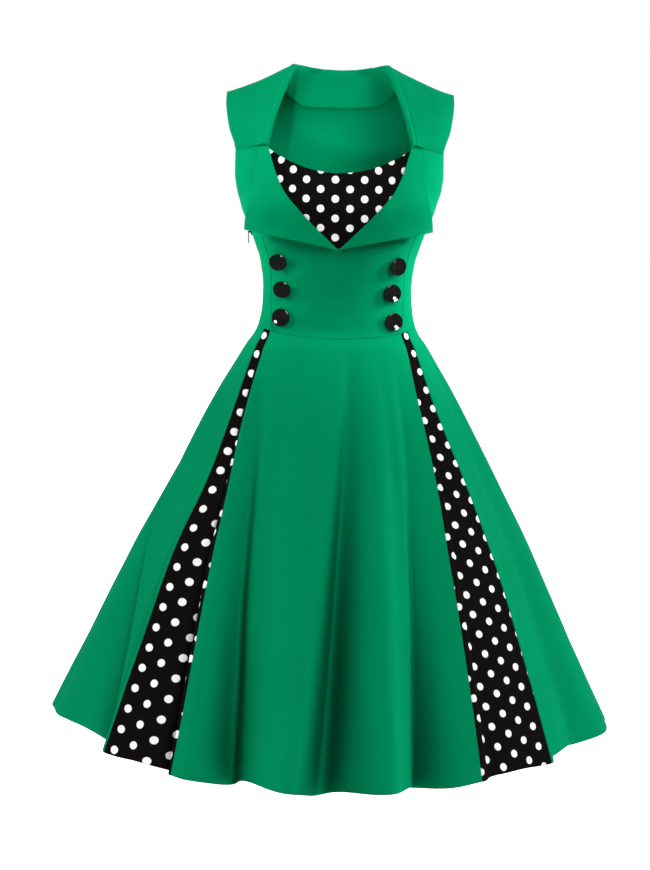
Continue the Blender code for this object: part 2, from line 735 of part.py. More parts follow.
def button(row):
    """A turned button that stands on its shank on the midriff."""
    mesh = bpy.data.meshes.new(row.name)
    points = [(radius, 0.0, height) for radius, height in BUTTON_SECTION]
    mesh.from_pydata(points, [(i, i + 1) for i in range(len(points) - 1)], [])
    item = bpy.data.objects.new(row.name, mesh)
    turning = item.modifiers.new("turning", "SCREW")
    turning.steps = 18
    turning.render_steps = 18
    turning.use_merge_vertices = True
    turning.merge_threshold = 0.00001
    turning.use_normal_calculate = True
    spot = front_point(row.x, row.z)
    level = level_of(row.z)
    cloth_normal = torso_normal(turn_at(row.x, level), level)
    facing = cloth_normal.lerp(Vector((0, -1, 0)), 1 - BUTTON_TURN_BACK).normalized()
    item.location = spot + cloth_normal * 0.0012
    item.rotation_mode = "QUATERNION"
    item.rotation_quaternion = facing.to_track_quat("Z", "Y")
    return place(item, black_resin)


for button_row in BUTTONS:
    button(button_row)

# ---------------------------------------------------------------- zip slider and pull

ZIP_PIVOT = Vector((-0.1345, 0.0, -0.204))   # the bar that the pull swings on
BAR_RADIUS = 0.0006
BAR_LENGTH = 0.0052
EAR_THICKNESS = 0.0008
SLIDER_SIZE = Vector((0.0022, 0.0056, 0.0090))
PULL_WIDTH = 0.0030
PULL_LENGTH = 0.0160
PULL_THICKNESS = 0.0012
EYE_RADIUS = 0.0015
EYE_HOLE = 0.0009


def block(name, centre, size, collection, tilt=0.0):
    """A plain block, tilted about Y."""
    bpy.ops.mesh.primitive_cube_add(size=1.0, location=centre, rotation=(0.0, tilt, 0.0))
    item = bpy.context.object
    item.name = name
    item.data.transform(
        [[size[0], 0, 0, 0], [0, size[1], 0, 0], [0, 0, size[2], 0], [0, 0, 0, 1]]
    )
    for home in list(item.users_collection):
        home.objects.unlink(item)
    collection.objects.link(item)
    return item


def hide_guide(item):
    item.hide_render = True
    item.display_type = "WIRE"


def join(item, cutter, operation):
    """Boolean one object with another, which stays hidden among the cutters."""
    hide_guide(cutter)
    modifier = item.modifiers.new(operation.lower() + "_" + cutter.name, "BOOLEAN")
    modifier.operation = operation
    modifier.object = cutter


def rod(name, centre, radius, length, collection):
    """A round rod along Y."""
    bpy.ops.mesh.primitive_cylinder_add(
        vertices=12, radius=radius, depth=length, location=centre,
        rotation=(math.pi / 2, 0, 0),
    )
    item = bpy.context.object
    item.name = name
    for home in list(item.users_collection):
        home.objects.unlink(item)
    collection.objects.link(item)
    return item


def zip_slider():
    """The slider in the side seam: a body, two ears and the bar between them."""
    level = level_of(ZIP_PIVOT.z)
    out = torso_normal(-math.pi / 2, level)
    seat = torso_point(-math.pi / 2, level)
    centre = seat + out * (SEAM_GAP + SLIDER_SIZE.x / 2)
    tilt = -math.atan2(-out.z, -out.x)
    slider = block("zip_slider", centre, SLIDER_SIZE, dress, tilt)
    slider.data.materials.append(zip_metal)
    reach_out = centre.x - ZIP_PIVOT.x + 0.0010
    for side in (-1, 1):
        ear_centre = Vector((
            centre.x - reach_out / 2,
            side * (BAR_LENGTH - EAR_THICKNESS) / 2,
            ZIP_PIVOT.z,
        ))
        ear_size = Vector((reach_out, EAR_THICKNESS, 0.0026))
        name = "slider_ear_" + ("front" if side < 0 else "back")
        join(slider, block(name, ear_centre, ear_size, cutters), "UNION")
    join(slider, rod("slider_bar", ZIP_PIVOT, BAR_RADIUS, BAR_LENGTH - 0.0004, cutters), "UNION")
    return slider


def zip_pull():
    """The pull tab that hangs from the bar, with its origin on the bar's axis."""
    pull = rod("zip_pull", ZIP_PIVOT, EYE_RADIUS, PULL_WIDTH, dress)
    pull.data.materials.append(zip_metal)
    tab_centre = ZIP_PIVOT - Vector((0, 0, EYE_RADIUS * 0.6 + PULL_LENGTH / 2))
    tab = block("pull_tab", tab_centre, (PULL_THICKNESS, PULL_WIDTH, PULL_LENGTH), cutters)
    join(pull, tab, "UNION")
    join(pull, rod("pull_eye", ZIP_PIVOT, EYE_HOLE, 3 * PULL_WIDTH, cutters), "DIFFERENCE")
    return pull


zip_slider()
zip_pull()
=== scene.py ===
import math
from collections import namedtuple

import bpy
import numpy as np
from mathutils import Matrix, Vector


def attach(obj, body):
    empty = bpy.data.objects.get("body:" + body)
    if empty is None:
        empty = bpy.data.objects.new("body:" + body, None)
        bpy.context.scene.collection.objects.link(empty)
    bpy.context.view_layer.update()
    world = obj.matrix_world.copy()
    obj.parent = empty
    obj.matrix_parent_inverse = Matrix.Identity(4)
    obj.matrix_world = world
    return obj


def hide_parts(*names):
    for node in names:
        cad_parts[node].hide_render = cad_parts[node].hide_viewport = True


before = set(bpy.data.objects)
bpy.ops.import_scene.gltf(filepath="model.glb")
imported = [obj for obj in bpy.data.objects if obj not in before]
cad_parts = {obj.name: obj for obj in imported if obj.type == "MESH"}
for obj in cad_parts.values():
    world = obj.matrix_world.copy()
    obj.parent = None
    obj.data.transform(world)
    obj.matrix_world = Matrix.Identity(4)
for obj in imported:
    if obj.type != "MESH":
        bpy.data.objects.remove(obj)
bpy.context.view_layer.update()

# ---------------------------------------------------------------- camera
# A portrait lens at chest height, well in front of the dress, tipped down a little so that
# the whole dress is in the frame. It looks along +Y at the front of the dress.

CAMERA_PLACE = (-0.015, -2.8, -0.155)
CAMERA_DIP = math.radians(7.23)
CAMERA_ROLL = math.radians(0.9)
SENSOR = 36.0                       # mm along the picture's long side
LENS = 76.6


def new_object(name, data):
    """An object of a mesh, a light or a camera, put in the scene."""
    made = bpy.data.objects.new(name, data)
    bpy.context.scene.collection.objects.link(made)
    return made


camera = new_object("camera", bpy.data.cameras.new("camera"))
camera.data.sensor_width = SENSOR
camera.data.lens = LENS
camera.matrix_world = (
    Matrix.Translation(CAMERA_PLACE)
    @ Matrix.Rotation(math.pi / 2 - CAMERA_DIP, 4, "X")
    @ Matrix.Rotation(CAMERA_ROLL, 4, "Z")
)
bpy.context.scene.camera = camera

# ---------------------------------------------------------------- studio
# A plain pale acrylic floor, lit from below, under a white surround. Broad soft lights in front
# and on both sides light the cloth, one only the gloss of the buttons, and four spots the bodice.

FLOOR_HEIGHT = -1.38
FLOOR_SIZE = 60.0
SURROUND_LIGHT = 0.16               # what the surround gives the dress
SURROUND_SEEN = 1.0                 # what the surround looks like behind it
FLOOR_GLOW = 0.88                   # what comes up through the floor
FLOOR_GIVEN = "#8a8a88"             # how pale the floor is to the dress above it
WHITE = (1, 1, 1, 1)
SPOT_RADIUS = 0.12

bpy.context.scene.view_settings.view_transform = "Standard"


def linear(hex_code):
    """The linear colour of an sRGB hex value."""
    shares = [int(hex_code[i:i + 2], 16) / 255 for i in (1, 3, 5)]
    return tuple(s / 12.92 if s <= 0.04045 else ((s + 0.055) / 1.055) ** 2.4 for s in shares)


def add(tree, kind, **given):
    """Add a node with its settings, in small letters, and its inputs; input_3 is the fourth.

    An input is given a value, or the output or the node that it is linked to.
    """
    made = tree.nodes.new(kind)
    for name, value in given.items():
        number = name.removeprefix("input_")
        if name.islower() and not number.isdigit():
            setattr(made, name, value)
            continue
        socket = made.inputs[int(number) if number.isdigit() else name.replace("_", " ")]
        if isinstance(value, bpy.types.Node):
            value = value.outputs[0]
        if isinstance(value, bpy.types.NodeSocket):
            tree.links.new(value, socket)
        else:
            socket.default_value = value
    return made


def new_material(name):
    """An empty node material and its tree."""
    made = bpy.data.materials.new(name)
    made.use_nodes = True
    made.node_tree.nodes.clear()
    return made, made.node_tree


world = bpy.data.worlds.new("studio_surround")
bpy.context.scene.world = world
world.use_nodes = True
tree = world.node_tree
tree.nodes.clear()
path = add(tree, "ShaderNodeLightPath")
lighting = add(tree, "ShaderNodeBackground", Color=WHITE, Strength=SURROUND_LIGHT)
seen = add(tree, "ShaderNodeBackground", Color=WHITE, Strength=SURROUND_SEEN)
either = add(
    tree, "ShaderNodeMixShader",
    input_0=path.outputs["Is Camera Ray"], input_1=lighting, input_2=seen,
)
add(tree, "ShaderNodeOutputWorld", Surface=either)

floor_sheet, tree = new_material("backlit_white_acrylic")
path = add(tree, "ShaderNodeLightPath")
given = add(tree, "ShaderNodeBsdfDiffuse", Color=(*linear(FLOOR_GIVEN), 1))
lit = add(
    tree, "ShaderNodeBsdfPrincipled", Base_Color=(*linear("#fafaf9"), 1), Roughness=0.9,
    Specular_IOR_Level=0.1, Emission_Color=WHITE, Emission_Strength=FLOOR_GLOW,
)
either = add(
    tree, "ShaderNodeMixShader",
    input_0=path.outputs["Is Camera Ray"], input_1=given, input_2=lit,
)
add(tree, "ShaderNodeOutputMaterial", Surface=either)


def mesh_object(name, points, faces, material):
    """A smooth object of points and faces, in one material."""
    mesh = bpy.data.meshes.new(name)
    mesh.from_pydata(points, [], faces)
    mesh.materials.append(material)
    mesh.shade_smooth()
    return new_object(name, mesh)


half_floor = FLOOR_SIZE / 2
corners = [
    (-half_floor, -half_floor, FLOOR_HEIGHT), (half_floor, -half_floor, FLOOR_HEIGHT),
    (half_floor, half_floor, FLOOR_HEIGHT), (-half_floor, half_floor, FLOOR_HEIGHT),
]
mesh_object("floor", corners, [(0, 1, 2, 3)], floor_sheet)

# A sun is so far off that only the direction from its place to its aim counts.
Light = namedtuple("Light", "name kind place aim angle strength gloss")
LIGHTS = [
    Light("key_light", "SUN", (0.34, -0.76, 0.52), (0, 0, 0), 30.0, 2.12, False),
    Light("left_rim_light", "SUN", (-1.0, 0.20, 0.35), (0, 0, 0), 30.0, 2.2, False),
    Light("right_rim_light", "SUN", (1.0, 0.30, 0.30), (0, 0, 0), 30.0, 2.1, False),
    Light("gloss_light", "SUN", (0.30, -0.84, 0.42), (0, 0, 0), 22.0, 5.0, True),
    Light("left_bodice_light", "SPOT", (-1.0, -0.15, 0.20), (-0.15, -0.03, -0.19), 20.0, 56.0, False),
    Light("right_bodice_light", "SPOT", (1.0, -0.15, 0.20), (0.15, -0.03, -0.21), 22.0, 70.0, False),
    Light("neckline_light", "SPOT", (-0.35, -2.40, 0.12), (0.0, 0.08, 0.004), 4.4, 420.0, False),
    Light("lapel_light", "SPOT", (-0.55, -2.25, -0.50), (-0.065, -0.10, -0.145), 4.6, 150.0, False),
]
for row in LIGHTS:
    data = bpy.data.lights.new(row.name, row.kind)
    data.energy = row.strength
    if row.kind == "SUN":
        data.angle = math.radians(row.angle)
    else:
        data.spot_size = math.radians(row.angle)
        data.spot_blend = 1.0
        data.shadow_soft_size = SPOT_RADIUS
    light = new_object(row.name, data)
    light.location = row.place
    light.rotation_euler = (Vector(row.place) - Vector(row.aim)).to_track_quat("Z", "Y").to_euler()
    light.visible_diffuse = not row.gloss
    light.visible_glossy = row.gloss

# ---------------------------------------------------------------- bodice
# Six pieces of the green cotton, cut to shape with princess seams over the bust, and sewn with
# their edges turned in, so that each seam lies in a fine groove. The form that they take is a
# stack of level sections, which the collar, the insert and the skirt follow too.

# Mid-weight cotton sateen, piece-dyed emerald, woven with a matt face. Its threads are too
# fine to see from a step away, so it shows as a smooth cloth with a faint cross grain.
GREEN = "#008f5f"
DEEP_GREEN = "#008859"              # where the dye has taken more
THREAD_SPACING = 0.0009             # drawn three times as coarse as it is, so that it shows
WAVE_PERIOD = math.pi / 10          # of a wave texture at a scale of 1
SLUB_SIZE = 0.0040                  # thick places in the yarn
SHADE_SIZE = 0.12                   # slow changes of shade across the cloth
FOLD_REACH = 0.080                  # how near other cloth is where shade is painted into the colour


def cloth_surface(tree, colour, glow, glow_weight, fold_shade, painted_glow=0.0):
    """A woven matt cloth of a colour, with shade painted into the colour deep in its folds, down to
    fold_shade of it, and a painted glow of its own.
    """
    where = add(tree, "ShaderNodeTexCoord").outputs["UV"]
    yarns = [
        add(
            tree, "ShaderNodeTexWave", bands_direction=way, Vector=where,
            Scale=WAVE_PERIOD / THREAD_SPACING, Distortion=1.2, Detail=1.0,
        ).outputs["Fac"]
        for way in ("X", "Y")
    ]
    slub = add(tree, "ShaderNodeTexNoise", Vector=where, Scale=1 / SLUB_SIZE, Detail=3.0)
    woven = add(tree, "ShaderNodeMath", operation="ADD", input_0=yarns[0], input_1=yarns[1])
    height = add(
        tree, "ShaderNodeMath", operation="ADD", input_0=woven, input_1=slub.outputs["Fac"],
    )
    bump = add(tree, "ShaderNodeBump", Strength=0.35, Distance=0.00012, Height=height)
    # Painted shade: the colour is darkened where other cloth is near, as in the depths of folds and
    # seams.
    near = add(tree, "ShaderNodeAmbientOcclusion", samples=8, Distance=FOLD_REACH)
    deep = add(
        tree, "ShaderNodeMapRange", interpolation_type="SMOOTHSTEP",
        Value=near.outputs["AO"], From_Min=0.40, From_Max=0.95, To_Min=fold_shade,
    )
    hue = add(
        tree, "ShaderNodeMix", data_type="RGBA", blend_type="MULTIPLY",
        Factor=1.0, input_6=colour, input_7=deep,
    ).outputs[2]
    surface = add(
        tree, "ShaderNodeBsdfPrincipled", Base_Color=hue, Roughness=0.82, Normal=bump,
        # Painted glow: the cloth gives off light in its own colour, as strong as the glow it is
        # given.
        Emission_Color=hue, Emission_Strength=painted_glow,
        Specular_IOR_Level=0.12, Specular_Tint=(*glow, 1),
        Sheen_Weight=glow_weight, Sheen_Roughness=0.45, Sheen_Tint=(*glow, 1),
    )
    add(tree, "ShaderNodeOutputMaterial", Surface=surface)


def green(name, fold_shade):
    """The green cotton, with slow changes in how much dye it has taken."""
    made, tree = new_material(name)
    where = add(tree, "ShaderNodeTexCoord")
    shade = add(
        tree, "ShaderNodeTexNoise", Vector=where.outputs["Object"], Scale=1 / SHADE_SIZE, Detail=3.0,
    )
    dyed = add(
        tree, "ShaderNodeMix", data_type="RGBA", Factor=shade.outputs["Fac"],
        input_6=(*linear(GREEN), 1), input_7=(*linear(DEEP_GREEN), 1),
    )
    cloth_surface(tree, dyed.outputs[2], linear("#12e09a"), 0.25, fold_shade)
    return made


# Three copies of the cotton that differ only in how much shade is painted into their folds:
# deep on the skirt, lighter on the back, collar and lapels, and faintest on the front.
green_cotton = green("emerald_cotton_sateen", 0.22)
cotton_lighter_painted_shade = green("emerald_cotton_sateen_lighter_painted_shade", 0.66)
cotton_faintest_painted_shade = green("emerald_cotton_sateen_faintest_painted_shade", 0.88)

CLOTH = 0.0008                      # one layer of the green cotton
FORM_CLOTH = 0.0016                 # what the frame's solids allow for one layer and its seams
SEAM_GROOVE = 0.0010                # how deep the turned-in edge of a piece goes
SEAM_ROUND = 0.0011                 # how far from the seam the cloth starts to go down
SEAM_STEPS = np.array([0.0, 0.0004, 0.0009, 0.0015, 0.0023, 0.0038, 0.0062])
THREAD_RADIUS = 0.00026

# The form at its sections, from the shoulders down to the hem.
FormRow = namedtuple("FormRow", "height half_width front back squareness")
FORM = np.array([
    (0.004, 0.173, 0.000, 0.000, 2.8),
    (0.000, 0.173, 0.020, 0.038, 2.8),
    (-0.012, 0.173, 0.038, 0.064, 2.8),
    (-0.030, 0.171, 0.058, 0.083, 2.8),
    (-0.055, 0.166, 0.078, 0.095, 2.8),
    (-0.080, 0.161, 0.092, 0.100, 2.7),
    (-0.120, 0.157, 0.112, 0.101, 2.6),
    (-0.165, 0.145, 0.126, 0.100, 2.5),
    (-0.205, 0.129, 0.117, 0.096, 2.5),
    (-0.250, 0.115, 0.101, 0.090, 2.5),
    (-0.297, 0.111, 0.093, 0.086, 2.5),
    (-0.345, 0.119, 0.095, 0.088, 2.3),
    (-0.372, 0.136, 0.109, 0.101, 2.2),
    (-0.400, 0.153, 0.123, 0.115, 2.1),
    (-0.440, 0.177, 0.142, 0.134, 2.0),
    (-0.500, 0.210, 0.167, 0.159, 2.0),
    (-0.580, 0.252, 0.201, 0.191, 2.0),
    (-0.680, 0.303, 0.241, 0.231, 2.0),
    (-0.800, 0.358, 0.285, 0.274, 2.0),
    (-0.960, 0.433, 0.344, 0.332, 2.0),
])
CHEST_LEVEL = 5                     # above this section the shoulders slope
SHOULDER_FORWARD = 0.005
SHOULDER_RISE = 0.0168
SHOULDER_FALL = 0.879
WAIST_SIDE = -0.343
WAIST_DIP = 0.014
WAIST_HALF_WIDTH = 0.120
BUST_SEAM = -0.197
UNDERARM = -0.147
V_POINT = -0.226

# Half widths of the seams and edges of the front, by height.
PRINCESS_SEAM = [
    (0.004, 0.126), (-0.060, 0.118), (-0.085, 0.116), (-0.110, 0.117), (-0.165, 0.117),
    (-0.210, 0.1105),
    (-0.232, 0.103), (-0.262, 0.098), (-0.295, 0.0965), (-0.325, 0.096), (-0.357, 0.095),
]
INSERT_EDGE = [
    (-0.078, 0.1085), (-0.109, 0.100), (-0.145, 0.084), (-0.174, 0.058), (-0.198, 0.035),
    (-0.215, 0.016), (-0.226, 0.001),
]
NECK_EDGE = [(0.004, 0.088), (0.000, 0.090), (-0.012, 0.094), (-0.040, 0.101), (-0.078, 0.1085)]
ARMHOLE_EDGE = [
    (0.004, 0.168), (0.000, 0.1655), (-0.012, 0.1625), (-0.030, 0.1595), (-0.055, 0.156),
    (-0.080, 0.154), (-0.105, 0.154), (-0.120, 0.1535), (-0.135, 0.1515),
]
NECK_TOP_BACK = 2.45                # level of the neck seam at the centre back
NOTCH_HALF_WIDTH = 0.034            # of the midriff's point under the lapels
PASSES = 4                          # to find a height and a turn that depend on each other
SMALL_TURN = 0.004                  # steps for the slope of the form
SMALL_LEVEL = 0.01
LEVEL_STEPS = 8000                  # fine enough to look a level up by its height
NARROWEST = 3.2                     # times the reach of the rows at an edge, so they don't meet
MIDDLE_SHARE = 0.3                  # how much a piece's own middle tells which side is out
CREASE_FADE = 0.7

# About how wide and long a piece is, for the rows of points near its edges, and about how many
# points it has each way.
Grid = namedtuple("Grid", "width columns length rows")
MIDRIFF_GRID = Grid(0.19, 90, 0.15, 70)
FRONT_GRID = Grid(0.05, 24, 0.28, 80)
SIDE_FRONT_GRID = Grid(0.11, 50, 0.36, 150)
BACK_GRID = Grid(0.36, 170, 0.34, 150)

# Three slow waves across the cloth: how many turns across, in and up, and where each starts.
WAVES = [(2.1, 0.0, 1.3, 0.4), (0.0, -2.3, 1.7, 1.9), (2.9, 3.1, -1.1, 2.6)]


def through(points, knots, places):
    """Smooth curves through points at the knots, read at the places and flat past their ends."""
    points = np.asarray(points, float)
    knots = np.asarray(knots, float)
    places = np.clip(np.asarray(places, float), knots[0], knots[-1])
    slopes = np.gradient(points, knots, axis=0)
    index = np.clip(np.searchsorted(knots, places, side="right") - 1, 0, len(knots) - 2)
    span = knots[index + 1] - knots[index]
    part = (places - knots[index]) / span
    shape = places.shape + (1,) * (points.ndim - 1)
    span = span.reshape(shape)
    part = part.reshape(shape)
    return (
        points[index] * (1 + 2 * part) * (1 - part) ** 2
        + slopes[index] * span * part * (1 - part) ** 2
        + points[index + 1] * part**2 * (3 - 2 * part)
        + slopes[index + 1] * span * part**2 * (part - 1)
    )


def curve(table, position):
    """The value at a position of a smooth curve through (position, value) rows."""
    rows = np.array(sorted(table))
    return through(rows[:, 1], rows[:, 0], position)


def form_at(level):
    """Height, half width, front, back and squareness of the form at each level."""
    return np.moveaxis(through(FORM, np.arange(len(FORM)), level), -1, 0)


FINE_LEVELS = np.linspace(0, len(FORM) - 1, LEVEL_STEPS)
FINE_HEIGHTS = form_at(FINE_LEVELS)[0]


def level_of(height):
    """The level at which the form has a height."""
    return np.interp(-np.asarray(height), -FINE_HEIGHTS, FINE_LEVELS)


def torso_point(turn, level):
    """Points of the worn form at turns round the body and levels."""
    turn, level = np.broadcast_arrays(np.asarray(turn, float), np.asarray(level, float))
    height, half_width, front, back, squareness = form_at(level)
    facing = np.cos(turn)
    aside = np.sin(turn)
    depth = np.where(facing > 0, front, back)
    slope = np.maximum(0.0, 1 - level / CHEST_LEVEL)
    x = half_width * np.sign(aside) * np.abs(aside) ** (2 / squareness)
    y = SHOULDER_FORWARD * slope - depth * np.sign(facing) * np.abs(facing) ** (2 / squareness)
    z = height + slope**2 * (SHOULDER_RISE - SHOULDER_FALL * x * x)
    return np.stack([x, y, z], axis=-1)


def torso_normal(turn, level):
    """Outward unit normals of the worn form, straight up from the shoulder line."""
    turn, level = np.broadcast_arrays(np.asarray(turn, float), np.asarray(level, float))
    above = np.maximum(level, 2 * SMALL_LEVEL)
    along = torso_point(turn + SMALL_TURN, above) - torso_point(turn - SMALL_TURN, above)
    down = torso_point(turn, above + SMALL_LEVEL) - torso_point(turn, above - SMALL_LEVEL)
    normal = np.cross(down, along)
    ridge = torso_point(turn, 0.0 * level)[..., 0] * 2 * SHOULDER_FALL
    up = np.stack([ridge, 0 * ridge, 1 + 0 * ridge], axis=-1)
    normal = np.where((level <= 0)[..., None], up, normal)
    return normal / np.linalg.norm(normal, axis=-1, keepdims=True)


def turn_at(x, level):
    """The turn, in front, at which the form's section at a level is x wide."""
    half_width, squareness = form_at(level)[[1, 4]]
    share = np.minimum(1.0, np.abs(x) / half_width)
    return np.sign(x) * np.arcsin(share ** (squareness / 2))


def seam_turn(table, level):
    """The turn, in front, of a seam or an edge at each level."""
    return turn_at(curve(table, form_at(level)[0]), level)


def arm_turn(level):
    """The turn of the side seam below the underarm, and of the armhole's edge above it."""
    height = form_at(level)[0]
    return np.where(height < UNDERARM, math.pi / 2, seam_turn(ARMHOLE_EDGE, level))


def waist_height(x, front):
    """The height of the waist seam, which dips in front."""
    dip = WAIST_DIP * np.maximum(0.0, 1 - (x / WAIST_HALF_WIDTH) ** 2)
    return WAIST_SIDE - np.where(front, dip, 0.0)


def waist_level(turn):
    """The level of the waist seam at each turn."""
    level = level_of(WAIST_SIDE) + 0 * turn
    for _ in range(PASSES):
        level = level_of(waist_height(torso_point(turn, level)[..., 0], np.cos(turn) > 0))
    return level


def spaced(width, count):
    """Shares across a piece of each width in metres, close together near its two edges."""
    width = np.atleast_1d(width)[:, None]
    near = SEAM_STEPS / np.maximum(width, NARROWEST * SEAM_STEPS[-1])
    inner = near[:, -1:] + (1 - 2 * near[:, -1:]) * np.linspace(0, 1, count)[None, 1:-1]
    return np.hstack([near, inner, 1 - near[:, ::-1]])


def grid_shares(grid):
    """Shares across a piece, in a row, and down it, in a column."""
    return spaced(grid.width, grid.columns)[0], spaced(grid.length, grid.rows).T


def normals_of(points):
    """Unit normals of a grid of points, pointing away from the middle of the body."""
    normal = np.cross(np.gradient(points, axis=1), np.gradient(points, axis=0))
    normal /= np.maximum(np.linalg.norm(normal, axis=-1, keepdims=True), 1e-12)
    middle = points.mean(axis=(0, 1)) * (1, 1, 0)
    outward = (normal * (points * (1, 1, 0) + MIDDLE_SHARE * middle)).sum() > 0
    return (normal, False) if outward else (-normal, True)


def lengths(points, axis):
    """Distance along a grid of points from its first row or column."""
    steps = np.linalg.norm(np.diff(points, axis=axis), axis=-1)
    start = np.zeros_like(steps.take([0], axis=axis))
    return np.concatenate([start, np.cumsum(steps, axis=axis)], axis=axis)


def groove(points, seams):
    """How far each point goes in because it is near an edge that is turned in."""
    across = lengths(points, 1)
    along = lengths(points, 0)
    gaps = {
        "first": across, "last": across[:, -1:] - across,
        "start": along, "end": along[-1:] - along,
    }
    depth = 0 * across
    for name in seams.split():
        depth = np.maximum(depth, SEAM_GROOVE * np.exp(-((gaps[name] / SEAM_ROUND) ** 2)))
    return depth


def grid_mesh(name, points, turned, material, cut=None):
    """A smooth mesh of a grid of points, whose UV map is its flat cut in metres."""
    rows, columns = points.shape[:2]
    index = np.arange(rows * columns).reshape(rows, columns)
    corners = [index[:-1, :-1], index[:-1, 1:], index[1:, 1:], index[1:, :-1]]
    quads = np.stack(corners, axis=-1).reshape(-1, 4)
    if not turned:
        quads = quads[:, ::-1]
    made = mesh_object(name, points.reshape(-1, 3).tolist(), quads.tolist(), material)
    if cut is None:
        across = lengths(points, 1)
        cut = np.stack([across - across[:, -1:] / 2, lengths(points, 0)], axis=-1)
    layer = made.data.uv_layers.new(name="cut")
    layer.data.foreach_set("uv", cut.reshape(-1, 2)[quads.reshape(-1)].astype("f").ravel())
    return made


def dress_piece(made, node):
    """Let a cloth piece stand for its solid in the frame: put it on the dress's body and hide the
    solid.
    """
    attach(made, "dress")
    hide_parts(node)


def unevenness(points, size, depth):
    """Slow shallow waves, so that the cloth isn't as even as a board."""
    waves = sum(np.sin(points @ turns / size + start) for *turns, start in WAVES)
    return depth * waves / len(WAVES)


def cloth_piece(node, material, points, uneven, folds=0.0,
                seams="first last start end", cut=None):
    """A layer of cloth on a grid of points of the form, its named edges turned in."""
    normal, turned = normals_of(points)
    depth = folds + unevenness(points, *uneven) - groove(points, seams)
    made = grid_mesh(f"{node}_cloth", points + normal * depth[..., None], turned, material, cut)
    layer = made.modifiers.new("layer", "SOLIDIFY")
    layer.thickness = CLOTH
    layer.offset = -1.0
    dress_piece(made, node)
    return made


def surface_row(made, columns, row):
    """The points of one row of a piece's face, lifted by their normals to carry a thread."""
    vertices = made.data.vertices[row * columns:(row + 1) * columns]
    return np.array([point.co + point.normal * THREAD_RADIUS / 2 for point in vertices])


def creases(points, table):
    """Soft troughs along short lines, from one x and z to another, each of a width and a depth."""
    total = 0 * points[..., 0]
    for from_x, from_z, to_x, to_z, width, depth in table:
        start = np.array([from_x, from_z])
        run = np.array([to_x, to_z]) - start
        length = np.linalg.norm(run)
        off = points[..., [0, 2]] - start
        along = (off @ run) / length**2
        aside = np.abs(off @ np.array([-run[1], run[0]])) / length
        fade = np.sin(math.pi * np.clip(along, 0, 1)) ** CREASE_FADE
        total -= depth * fade * np.exp(-((aside / width) ** 2))
    return total


# The midriff, from the waist seam to the notched seam under the lapels.
across, up = grid_shares(MIDRIFF_GRID)
across = across * 2 - 1
princess_turn = turn_at(PRINCESS_SEAM[-1][1], level_of(WAIST_SIDE - WAIST_DIP))
bottom = waist_level(across * princess_turn)
princess_x = curve(PRINCESS_SEAM, BUST_SEAM)
notch = V_POINT + np.abs(across * princess_x) * (BUST_SEAM - V_POINT) / NOTCH_HALF_WIDTH
top = level_of(np.minimum(BUST_SEAM, notch))
level = bottom + (top - bottom) * up
points = torso_point(across * seam_turn(PRINCESS_SEAM, level), level)
MIDRIFF_CREASES = [
    (-0.092, -0.236, -0.050, -0.262, 0.007, 0.0012),
    (0.092, -0.240, 0.058, -0.268, 0.007, 0.0012),
    (-0.094, -0.300, -0.040, -0.306, 0.008, 0.0010),
    (0.094, -0.310, 0.050, -0.304, 0.008, 0.0010),
    (-0.030, -0.235, 0.036, -0.246, 0.012, 0.0008),
    (-0.060, -0.338, 0.010, -0.346, 0.009, 0.0009),
]
cloth_piece(
    "midriff_front", cotton_faintest_painted_shade, points, (0.02, 0.0004),
    creases(points, MIDRIFF_CREASES),
)

# The two upper fronts and the two side fronts, up to the shoulder seams.
FRONT_CREASES = [
    (-0.118, -0.080, -0.120, -0.140, 0.006, 0.0010),
    (0.116, -0.084, 0.119, -0.150, 0.006, 0.0010),
    (-0.125, -0.120, -0.148, -0.165, 0.010, 0.0014),
    (0.126, -0.125, 0.147, -0.170, 0.010, 0.0014),
    (-0.112, -0.225, -0.122, -0.262, 0.008, 0.0012),
    (0.112, -0.232, 0.120, -0.270, 0.008, 0.0012),
    (-0.100, -0.300, -0.113, -0.330, 0.007, 0.0010),
]
for side, name in ((1, "left"), (-1, "right")):
    share, up = grid_shares(FRONT_GRID)
    level = level_of(BUST_SEAM) * (1 - up)
    height = form_at(level)[0]
    below_neck = height < INSERT_EDGE[0][0]
    edge_x = np.where(below_neck, curve(INSERT_EDGE, height), curve(NECK_EDGE, height))
    inner = turn_at(edge_x, level)
    outer = seam_turn(PRINCESS_SEAM, level)
    points = torso_point(side * (inner + (outer - inner) * share), level)
    cloth_piece(f"front_{name}", cotton_faintest_painted_shade, points, (0.02, 0.0003))

    share, up = grid_shares(SIDE_FRONT_GRID)
    bottom = waist_level(princess_turn + (math.pi / 2 - princess_turn) * share)
    level = bottom * (1 - up)
    inner = seam_turn(PRINCESS_SEAM, level)
    points = torso_point(side * (inner + (arm_turn(level) - inner) * share), level)
    cloth_piece(
        f"side_front_{name}", cotton_faintest_painted_shade, points, (0.02, 0.0005),
        creases(points, FRONT_CREASES),
    )

# The back, in one piece from side seam to side seam.
neck_corner = turn_at(NECK_EDGE[0][1], 0.0) / turn_at(ARMHOLE_EDGE[0][1], 0.0)


def back_place(column, level):
    """Turn and level on the back: column 0 is the centre, 1 the arm's edge, level 0 the top."""
    top = NECK_TOP_BACK * np.sqrt(1 - np.minimum(1.0, np.abs(column / neck_corner)) ** 4)
    stretched = top + level * (CHEST_LEVEL - top) / CHEST_LEVEL
    here = np.where(level < CHEST_LEVEL, stretched, level)
    return math.pi - column * arm_turn(here), here


